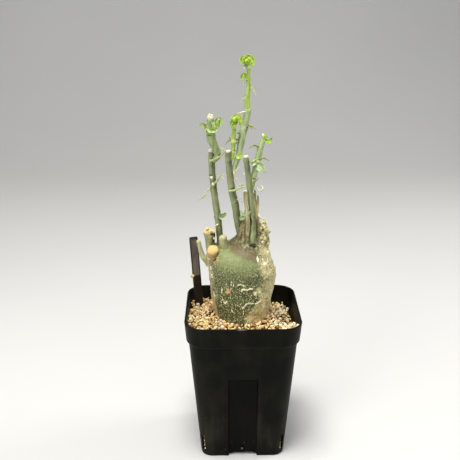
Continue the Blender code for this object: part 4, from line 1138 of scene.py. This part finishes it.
# %% Leaves of the old stems and the cut shoots
STEM_LEAVES = (
    ("leaf_broad", PALE_LEAF, "leaf_broad_right", (
        blade([(10.4, -1.6, 116.4), (12, -3.2, 114.6), (14.2, -4.6, 112.6), (17.2, -6, 109.9)],
              6.6, shape=0.6, cup=0.25, seed=1),
        blade([(9.7, -3, 117.4), (8.2, -4.4, 116.8), (6.1, -6, 114.8)], 3.2, seed=2),
    )),
    ("leaf_heart", PALE_LEAF, "leaf_heart_left", (
        blade([(-18.2, -1.6, 75.2), (-16.4, -3, 75.6), (-14.4, -4.6, 76.6), (-12.4, -5, 78.8)],
              4.8, cup=0.85, shape=0.9, seed=3),
        blade([(-2.6, -10.2, 74.8), (-0.4, -11.4, 76.6), (2.4, -12, 76.0)], 3.4, cup=0.5, seed=29),
        blade([(0.6, -11.6, 76.4), (1.8, -12, 78.2), (3.0, -12, 80.2)], 2.2, cup=0.4, seed=30),
        blade([(-2.1, -9.4, 82.0), (0.3, -11.6, 79.2), (3.6, -12.6, 80.2), (6.2, -12.4, 82.4)],
              2.4, cup=0.2, seed=33),
    )),
    ("leaf_node", LIME_LEAF, None, (
        blade([(-5.4, -4.6, 122.8), (-3.2, -5.6, 122.4), (-0.6, -6, 124.6)], 3.8, cup=0.4, seed=28),
    )),
    ("leaf_curl_right", LIME_LEAF, "leaf_curled_right", (
        blade([(15.8, 0.6, 134.4), (17.6, 0.4, 132.4), (19.6, 0, 132.2), (21.0, -1, 134.2),
              (21.8, -2, 136.0)],
              3.4, (0, -1, 0.8), 0.5, seed=4),
        blade([(15.6, 0.6, 134.0), (16.8, 0.2, 136.2), (15.6, 0.2, 138.0)], 2.8, seed=5),
    )),
    ("leaf_collar", GREEN_LEAF, "leaf_small_left", (
        blade([(-26.0, -4.4, 143.4), (-28.2, -4.8, 145.0), (-30.2, -5.4, 146.2), (-32.4, -6, 145.0)],
              2.8, seed=6),
        blade([(-25.6, -4.8, 143.6), (-27.8, -5.2, 142.8), (-28.8, -5.6, 140.6)], 2.2, seed=21),
        blade([(-22.0, -6.2, 142.4), (-24.6, -6.6, 141.4), (-27.0, -5.0, 143.2)], 2.6, cup=0.5, seed=7),
        blade([(-24.6, -6.6, 141.6), (-21.8, -6.8, 141.6), (-18.8, -4.8, 143.2)], 3.2, cup=0.4, seed=8),
        blade([(-22.6, -6.6, 142.0), (-22.4, -7.2, 145.2), (-22.0, -6.6, 148.4)],
              4.2, cup=0.3, shape=0.7, seed=22),
    )),
    ("leaf_curl_left", GREEN_LEAF, "leaf_curled_left", (
        blade([(-21.6, -4.8, 142.8), (-20.2, -4.6, 145.2), (-19.8, -4.2, 148.2), (-18.4, -3.6, 150.2),
              (-16.6, -3.4, 150.4)],
              3.6, (0.2, -1, 0.2), 0.5, shape=0.7, seed=9),
        blade([(-18.6, -3.8, 150.2), (-16.9, -3.6, 149.8), (-16.3, -3.8, 147.2), (-17.4, -4.4, 145.0),
              (-18.8, -4.8, 144.4)],
              2.6, (0.2, -1, 0.2), 0.4, seed=23),
    )),
    ("leaf_curl_heart", OLIVE_LEAF, None, (
        blade([(-19.2, -3.4, 145.2), (-18.2, -3.4, 147.4), (-17.6, -3.4, 149.2)],
              3.2, (0.2, -1, 0.2), 0.2, seed=24),
    )),
)
for name, finish, node, blades in STEM_LEAVES:
    piece(name, blades, finish, "leaf", *([node] if node else []))

# %% Leaf tufts on the two lime shoots
TUFT_LEAVES = (
    ("leaf_tuft_left", LIME_LEAF, "leaf_lime_left", (
        blade([(-6.4, -6.2, 147.6), (-7.8, -6.6, 148.4), (-8.6, -6.8, 146.8), (-8.6, -6.8, 144.6)],
              3.0, cup=0.4, seed=10),
        blade([(-6.8, -5.6, 147.4), (-6.6, -6.0, 150.2), (-5.4, -5.8, 152.8)],
              5.2, cup=0.3, shape=0.7, seed=25),
        blade([(-6.4, -6.6, 146.8), (-7.6, -7.4, 145.2), (-8.0, -7.6, 143.0)], 3.4, cup=0.3, seed=26),
    )),
    ("leaf_tuft_right", LIME_LEAF, "leaf_lime_right", (
        blade([(-6.6, -5.6, 151.2), (-4.8, -6, 152.4), (-3.0, -6.4, 150.8), (-2.2, -6.8, 148.2),
              (-2.8, -7, 145.4)],
              3.4, cup=0.5, seed=11),
    )),
    ("leaf_hearts", OLIVE_LEAF, None, (
        blade([(-6.2, -6.8, 146.6), (-5.2, -7, 148.4), (-4.6, -6.8, 150.2)], 2.6, cup=0.2, seed=12),
        blade([(2.6, 0.2, 189.6), (1.6, -0.2, 191.4), (2.0, -0.2, 193.4)], 2.8, cup=0.2, seed=27),
    )),
    ("leaf_cores", LIME_LEAF, None, (
        lump((-6.0, -5.6, 149.2), 2.5, 30),
        lump((-7.4, -6.2, 146.4), 1.7, 31),
        lump((2.6, 1.2, 190.8), 2.4, 32),
    )),
    ("leaf_hood_left", LIME_LEAF, "leaf_tip_left", (
        blade([(2.4, 1.2, 188.6), (0.6, 1.0, 190.0), (-0.8, 1, 191.8), (0.4, 1, 193.6), (2.2, 1.2, 193.8)],
              4.2, cup=0.4, seed=13),
    )),
    ("leaf_hood_right", LIME_LEAF, "leaf_tip_right", (
        blade([(1.4, 1.2, 192.4), (3.8, 1.2, 193.4), (5.8, 1, 191.8), (6.8, 0.6, 189.4), (6.6, 0.2, 186.2)],
              4.0, cup=0.5, seed=14),
    )),
    ("leaf_hood_top", LIME_LEAF, "leaf_tip_top", (
        blade([(3.0, 1.4, 189.0), (2.0, 1.0, 191.6), (2.4, 0.8, 194.2)], 6.0, cup=0.3, shape=0.65, seed=15),
    )),
    ("leaf_hood_low", PALE_LEAF, "leaf_tip_low", (
        blade([(3.0, 0.8, 188.0), (1.2, 0.2, 186.8), (-1.4, -0.2, 187.2)],
              3.0, cup=0.3, shape=0.7, seed=16),
    )),
    ("leaf_side", LIME_LEAF, "leaf_side_tip", (
        blade([(3.2, 1.2, 177.2), (1.8, 0.6, 179.8), (0.2, 0, 181.2), (-1.0, -0.2, 179.2),
              (-0.8, -0.6, 176.6)],
              3.2, cup=0.5, seed=17),
    )),
)
for name, finish, node, blades in TUFT_LEAVES:
    piece(name, blades, finish, "leaf", *([node] if node else []))

# %% [markdown]
# ## Tendrils and thorns
#
# At each node a tendril hardens into a thin forked spine. They are the same swept circle, only
# fine and pointed, and forks are separate skins in one piece with the tendril they leave.


# %% Finish and sweep of the tendrils
def hair(route, thick, end=0.35, seed=0):
    """A tendril along a route in millimetres, tapering to `end` of its thickness."""
    radii = thick * np.array([1.25, 1.0, 0.9, (1 + end) / 2, end]) / 2
    return stem(route, radii, "round", rib=0.05, rough=0.1, sides=10, step=0.4, seed=seed)


GREEN_TENDRIL = stem_finish("green_tendril", (122, 144, 76), (198, 208, 138), (220, 214, 160), depth=0.1 * MM)
DRY_TENDRIL = stem_finish(
    "dry_tendril", (170, 156, 112), (236, 226, 188), (240, 232, 200), 0.8, 0.25, 0.65, 0.1 * MM
)
OLIVE_THORN = stem_finish("olive_thorn", (96, 106, 44), (150, 152, 66), (196, 180, 110), depth=0.1 * MM)
print("tendril finishes made")


# %% The tendrils, piece by piece
# Each row: piece, finish, the node it stands for, then thickness, end share and route of each hair
TENDRILS = (
    ("tendril_long_left", GREEN_TENDRIL, "tendril_left", (
        (1.3, 0.6, [(-22.2, 2, 93.6), (-24.2, 1, 94.6), (-26.2, -1, 96), (-29.5, -3, 91.5),
            (-33.6, -5, 89)]),
        (0.9, 0.4, [(-22.4, 1.6, 96.8), (-24.2, 0.6, 98.2), (-25.2, 0, 99.4)]),
    )),
    ("tendril_node_left", GREEN_TENDRIL, "thorn_left_node", (
        (1.6, 0.5, [(-21.6, 1, 100.6), (-19.6, -0.6, 102.4), (-18.2, -2, 105.0), (-17.0, -3, 106.8)]),
        (0.9, 0.4, [(-19.8, -0.4, 102.2), (-18.2, -1.6, 102.6)]),
    )),
    ("tendril_arc", DRY_TENDRIL, "tendril_left_arc", (
        (0.8, 0.7, [(-18.2, -1.6, 105.6), (-17.6, 0, 107.2), (-14.8, -2, 107.6), (-12, -5, 107.0),
            (-10.6, -5.4, 104.6)]),
        (0.7, 0.5, [(-17.8, -1, 107), (-14.4, -3, 105.4), (-11.4, -5, 104.4)]),
    )),
    ("tendril_cross", GREEN_TENDRIL, "tendril_left_cross", (
        (1.5, 0.4, [(-24.9, -0.5, 118.3), (-23.4, -1.8, 118.6), (-20, -3, 120.4), (-16.5, -4, 122.6),
            (-12.8, -8, 127.2)]),
        (1.0, 0.4, [(-16.8, -4, 122.4), (-14.2, -5.6, 122.0), (-12.2, -7, 123.4)]),
        (1.0, 0.4, [(-18.4, -1, 126), (-16.4, -3, 128), (-14.2, -5, 127.4), (-12.6, -6.4, 128.2)]),
    )),
    ("spine_left", DRY_TENDRIL, "spine_left_foot", (
        (1.3, 0.4, [(-18.4, -1.4, 68.7), (-20.2, -3, 68.2), (-22.8, -4.6, 66.6)]),
    )),
    ("tendril_bundle", GREEN_TENDRIL, "tendril_front_bundle", (
        (1.5, 0.5, [(-10.6, -8.6, 96.6), (-8.6, -10.4, 97.2), (-6.1, -11, 98), (-2.4, -12, 100),
            (2.1, -11, 100)]),
        (0.9, 0.5, [(-4.6, -11, 99), (-2.2, -9.4, 101.6), (0.6, -8, 100.4)]),
        (0.7, 0.5, [(-2.6, -11.8, 99.8), (-1.4, -11.4, 102.6), (-0.6, -11, 103.4)]),
    )),
    ("tendril_fork", DRY_TENDRIL, "tendril_front_fork", (
        (1.1, 0.4, [(-7.6, -6.6, 109.8), (-5.7, -6.4, 111.8), (-2, -7, 115)]),
        (1.0, 0.6, [(-6.8, -7, 110.9), (-6.4, -8, 107.6), (-5.3, -8, 105), (-4.6, -8, 106)]),
        (0.9, 0.5, [(-4.6, -9, 89.8), (-3.2, -8.6, 90.8), (-1.5, -8, 90.7)]),
        (0.8, 0.5, [(-1.2, -9, 88.6), (0.4, -9, 87.8)]),
    )),
    ("thorn_small", OLIVE_THORN, "thorn_small_shoot", (
        (1.4, 0.3, [(-8.4, -5.4, 134.9), (-10.9, -6, 134.2), (-13.1, -8, 131.7)]),
        (0.9, 0.4, [(-9.4, -5.6, 135), (-10.6, -6, 137.2)]),
    )),
    ("tendril_small", OLIVE_THORN, "tendril_small_curl", (
        (1.3, 0.6, [(-6.2, -4.4, 134.6), (-4.4, -3.6, 134.6), (-3, -3, 135.8), (-2.6, -2.6, 138.4),
            (-4.2, -3, 139.4)]),
        (1.1, 0.5, [(-5.6, -4, 131.8), (-3.8, -3.4, 132.6), (-2.2, -3, 132.2)]),
    )),
    ("tendril_tip_right", GREEN_TENDRIL, "tendril_knee", (
        (1.0, 0.5, [(4.4, 1.8, 170.2), (6.0, 1.4, 171.4), (7.8, 0.6, 169.8), (9.2, -1, 166.0)]),
        (0.8, 0.5, [(6.0, 1.4, 171.2), (7.4, 1.8, 172.0), (8.6, 2, 172.6)]),
    )),
    ("thorn_tip", GREEN_TENDRIL, "thorn_tip_left", (
        (1.0, 0.5, [(2.2, 1.6, 163.7), (0.2, 0.8, 163.9), (-1.0, 0, 162.6), (-2.2, -1, 160)]),
        (1.1, 0.4, [(2.9, 1.4, 177.8), (1.2, 0.2, 176.8), (-0.1, -1, 174.2)]),
    )),
    ("thorn_tall_left_side", DRY_TENDRIL, "thorn_tall_left", (
        (1.3, 0.25, [(2.6, 0.8, 154.6), (-1.7, -2, 154.2), (-4.8, -4, 153.6)]),
    )),
    ("thorn_tall_right_side", OLIVE_THORN, "thorn_tall_right", (
        (1.8, 0.3, [(3.4, 0.6, 145.2), (6.6, -1, 144.0), (9.0, -3, 142.2)]),
        (0.9, 0.3, [(4.6, 0, 144.6), (6.4, -1, 142.2)]),
    )),
    ("tendril_vee", GREEN_TENDRIL, "tendril_right_long", (
        (1.3, 0.5, [(10.2, -1.8, 119.2), (8.4, -3, 118.6), (6.2, -5, 117.9), (5.3, -6.4, 118.4),
            (4, -7.5, 121.7)]),
    )),
    ("tendril_out", OLIVE_THORN, "tendril_right_out", (
        (1.4, 0.3, [(12.8, 0, 118.6), (14.6, 0, 119.8), (16.8, 0, 119.6), (19.8, -1, 118.0)]),
    )),
    ("thorn_right", OLIVE_THORN, "thorn_right_left", (
        (1.5, 0.25, [(12.4, 0.2, 128.0), (8.1, -2, 129.9), (4.1, -4, 128.2)]),
        (0.8, 0.5, [(8.4, -4, 102.6), (9.8, -4, 103.4), (11.2, -4, 104.4), (11.6, -4, 106)]),
    )),
    ("tendril_low_right", DRY_TENDRIL, "tendril_stump", (
        (1.4, 0.5, [(11.6, -6, 78.2), (12.2, -6.6, 76.6), (13.6, -7.4, 75), (16.4, -8, 74.5),
            (18.1, -9, 71.7)]),
    )),
)
seeds = count(1)
for name, finish, node, hairs in TENDRILS:
    made = [hair(route, thick, end, next(seeds)) for thick, end, route in hairs]
    piece(name, made, finish, "tendril", node)


# %% [markdown]
# ## Crumbs, torn lips and flakes
#
# Small rough balls do what a swept circle can't: stray grains and dabs of dried sap on the
# stems, the torn lip of the cut stub, and the crust at the top of the ridge, shaded flat.

# %% Crumbs and dabs of wax
# Place, size and tint
CRUMBS = (
    (-21.9, -6.4, 58.6, 0.8, 1.0), (-23.6, 0.4, 104.8, 1.1, 1.0), (-22.6, 0.2, 99.8, 1.2, 0.95),
    (0.7, -5.4, 108.9, 0.7, 1.0), (-40.4, 26.4, 15.4, 1.6, 0.66), (-23.0, -4.4, 152.6, 0.8, 1.0),
    (-24.8, -4.2, 152.9, 0.8, 1.0), (8.6, -2.6, 99.4, 0.8, 0.95),
)
crumbs = [lump((x, y, z), size, seed, tint=tint) for seed, (x, y, z, size, tint) in enumerate(CRUMBS, 1)]
piece("crumbs", crumbs, PUMICE, "gravel")

# %% Torn lip, crust of the ridge and the nub under the pot
lips = [
    lump((-22.8, -5.4, 63.8), 1.6, 10, cut=0.6, dirt=0.5),
    lump((-22.4, -4.6, 61.0), 1.3, 11, dirt=0.85),
    lump((-28.4, -4.8, 64.4), 1.3, 12, cut=1.0),
    lump((-25.4, -5.8, 65.2), 1.2, 13, cut=1.0),
    lump((-27.6, -6.4, 66.4), 1.0, 30, cut=1.0),
    lump((-24.0, -7.4, 62.6), 1.1, 31, dirt=0.9),
    lump((-26.6, -7.4, 66.8), 0.9, 32, cut=0.9),
]
piece("stub_ragged_lip", lips, SHOULDER_STUB, "cork")
# Place and size
FLAKES = (
    (15.1, -6.2, 68.6, 1.5), (17.6, -6.2, 65.6, 1.6), (19.4, -5.0, 62.4, 1.2), (14.0, -8.0, 59.4, 1.5),
    (17.0, -7.8, 58.2, 1.5), (12.8, -7.2, 62.0, 1.0), (16.4, -9.0, 50.6, 1.1), (18.6, -7.4, 54.0, 1.3),
    (13.6, -6.4, 65.0, 1.1), (14.0, -6.8, 66.8, 1.2), (16.4, -6.4, 67.4, 1.3), (18.8, -5.6, 64.0, 1.0),
    (15.2, -7.2, 61.2, 1.1), (19.2, -5.4, 59.6, 1.2), (15.2, -8.8, 56.2, 1.2),
)
flakes = [lump((x, y, z), size, seed) for seed, (x, y, z, size) in enumerate(FLAKES, 14)]
flake_heap = piece("ridge_flakes", flakes, RIDGE_CORK, "cork")
flake_heap.data.shade_flat()
nub = lump((-0.5, -32.6, 6.6 - RIM / MM), 0.9, 9, gate=1.0)
piece("moulding_nub", [nub], POT_PLASTIC, "pot")

# %% [markdown]
# ## The plant label
#
# A glossy dark plastic stick stands in the back left corner, left blank. Its cross-section is
# a rounded rectangle (a superellipse) and the upper face is a shallow panel inside a raised
# border. A crumb of pumice sticks to its edge.

# %% The label
label_plastic = Finish("label_plastic", Specular_IOR_Level=0.5, Coat_Weight=0.25, Coat_Roughness=0.12)
smear = label_plastic.noise(6 * MM, 4, (1, 1, 0.35))
fine_smear = label_plastic.noise(1.5 * MM, 4)
dark = label_plastic.mixed(smear.over(0.4, 0.7), (10, 9, 9), (28, 22, 18))
panel = label_plastic.mixed(smear.over(0.35, 0.7), (66, 58, 50), (110, 96, 82))
tag_colour = label_plastic.mixed(label_plastic.mark("panel"), dark, panel)
LABEL_PLASTIC = label_plastic.wear(tag_colour, 0.22 + 0.25 * smear, fine_smear, 0.05 * MM)

LABEL_SIZE = (7.0 * MM, 1.2 * MM, 100 * MM)
circle = np.linspace(0, 2 * np.pi, 96, endpoint=False)
SQUARE_X, SQUARE_Y = 0.22, 0.5
flat_x = np.sign(np.cos(circle)) * np.abs(np.cos(circle)) ** SQUARE_X * LABEL_SIZE[0] / 2
flat_y = np.sign(np.sin(circle)) * np.abs(np.sin(circle)) ** SQUARE_Y * LABEL_SIZE[1] / 2
share = np.concatenate([[0, 0.004, 0.012, 0.03], np.linspace(0.06, 0.97, 120), [0.988, 0.995, 0.999, 1.0]])
TAPER = np.array(
    [(0, 0.3), (0.004, 0.5), (0.012, 0.65), (0.06, 1), (0.97, 1), (0.988, 0.985), (0.995, 0.95), (1.0, 0.86)]
)
taper = np.interp(share, TAPER[:, 0], TAPER[:, 1])[:, None]
tall_z = (share[:, None] - 0.5) * LABEL_SIZE[2] + 0 * circle
tag = np.stack([flat_x * taper, flat_y * taper**0.5, tall_z], axis=-1)
inside = 1 - eased(np.abs(tag[..., 0]), 2.3 * MM, 2.7 * MM)
inside = inside * eased(tag[..., 2], 16.5 * MM, 17 * MM) * (1 - eased(tag[..., 2], 47.6 * MM, 48.1 * MM))
tag[..., 1] -= np.sign(tag[..., 1]) * inside * 0.22 * MM
lean, turn = math.radians(-4), math.radians(8)
rock = np.array([[math.cos(lean), 0, math.sin(lean)], [0, 1, 0], [-math.sin(lean), 0, math.cos(lean)]])
swing = np.array([[math.cos(turn), -math.sin(turn), 0], [math.sin(turn), math.cos(turn), 0], [0, 0, 1]])
LABEL_MIDDLE = [-35.9 * MM, 27 * MM, RIM - 0.5 * MM]
tag = tag @ (swing @ rock).T + LABEL_MIDDLE
piece("label_stick", [skin(tag, panel=inside)], LABEL_PLASTIC, "label", "plant_label")

# %% [markdown]
# ## Studio
#
# A pale floor that sweeps up into a wall, one large soft light overhead and a weaker one from
# the front left. The camera looks slightly down, from a little left of the middle.

# %% Floor
floor_finish = Finish("studio_floor", Specular_IOR_Level=0.2)
paper = floor_finish.noise(0.3, 3)
floor_colour = floor_finish.mixed(paper, (206, 205, 202), (212, 211, 208))
FLOOR = floor_finish.wear(floor_colour, 0.75 + 0.05 * paper, paper, 0.01 * MM)
FLAT_END, BEND, WALL_TOP = 1.0, 0.9, 2.6
bent = [[FLAT_END + BEND * math.sin(a), BEND - BEND * math.cos(a)] for a in np.linspace(0.1, 1.57, 12)]
sweep = np.concatenate([np.linspace([-1.6, 0], [FLAT_END, 0], 12), bent, [[FLAT_END + BEND, WALL_TOP]]])
wide = np.linspace(-2.4, 2.4, 13)
grid = np.stack([wide + 0 * sweep[:, :1], sweep[:, :1] + 0 * wide, sweep[:, 1:] + 0 * wide], axis=-1)
index = np.arange(grid.shape[0] * grid.shape[1]).reshape(grid.shape[:2])
quads = np.stack([index[:-1, :-1], index[:-1, 1:], index[1:, 1:], index[1:, :-1]], axis=-1).reshape(-1, 4)
floor_mesh = bpy.data.meshes.new("studio_floor")
floor_mesh.from_pydata(grid.reshape(-1, 3).tolist(), [], quads.tolist())
floor_mesh.materials.append(FLOOR)
floor_mesh.shade_smooth()
floor = bpy.data.objects.new("studio_floor", floor_mesh)
bpy.context.scene.collection.objects.link(floor)
print("floor quads", len(quads))


# %% Lights and camera
def aim(thing, place, target):
    """Puts a light or the camera at a place, looking at a target."""
    thing.location = place
    thing.rotation_euler = (Vector(target) - Vector(place)).to_track_quat("-Z", "Y").to_euler()
    bpy.context.scene.collection.objects.link(thing)
    return thing


def soft_light(name, place, size, watts, colour=(1, 1, 1)):
    lamp = bpy.data.lights.new(name, "AREA")
    lamp.shape = "RECTANGLE"
    lamp.size, lamp.size_y = size
    lamp.energy = watts
    lamp.color = colour
    return aim(bpy.data.objects.new(name, lamp), place, (0, 0, 0.18))


soft_light("overhead", (-0.12, -0.22, 1.25), (0.45, 0.4), 17, (1, 0.985, 0.96))
soft_light("front_left", (-0.9, -1.1, 0.75), (0.6, 0.6), 7, (1, 0.99, 0.97))
soft_light("right_edge", (1.0, 0.25, 0.7), (0.5, 0.8), 6, (0.98, 0.99, 1))
world = bpy.data.worlds.new("studio")
world.use_nodes = True
world.node_tree.nodes["Background"].inputs["Color"].default_value = (0.8, 0.82, 0.85, 1)
world.node_tree.nodes["Background"].inputs["Strength"].default_value = 0.42
bpy.context.scene.world = world
bpy.context.scene.view_settings.view_transform = "Standard"
LENS = 54.1
CAMERA_PLACE, CAMERA_TARGET = (-0.0170, -0.5117, 0.3393), (-0.0097, 0.0001, 0.1804)
lens = bpy.data.cameras.new("camera")
lens.lens = LENS
lens.sensor_width = 36
camera = aim(bpy.data.objects.new("camera", lens), CAMERA_PLACE, CAMERA_TARGET)
bpy.context.scene.camera = camera
print("camera lens", lens.lens)
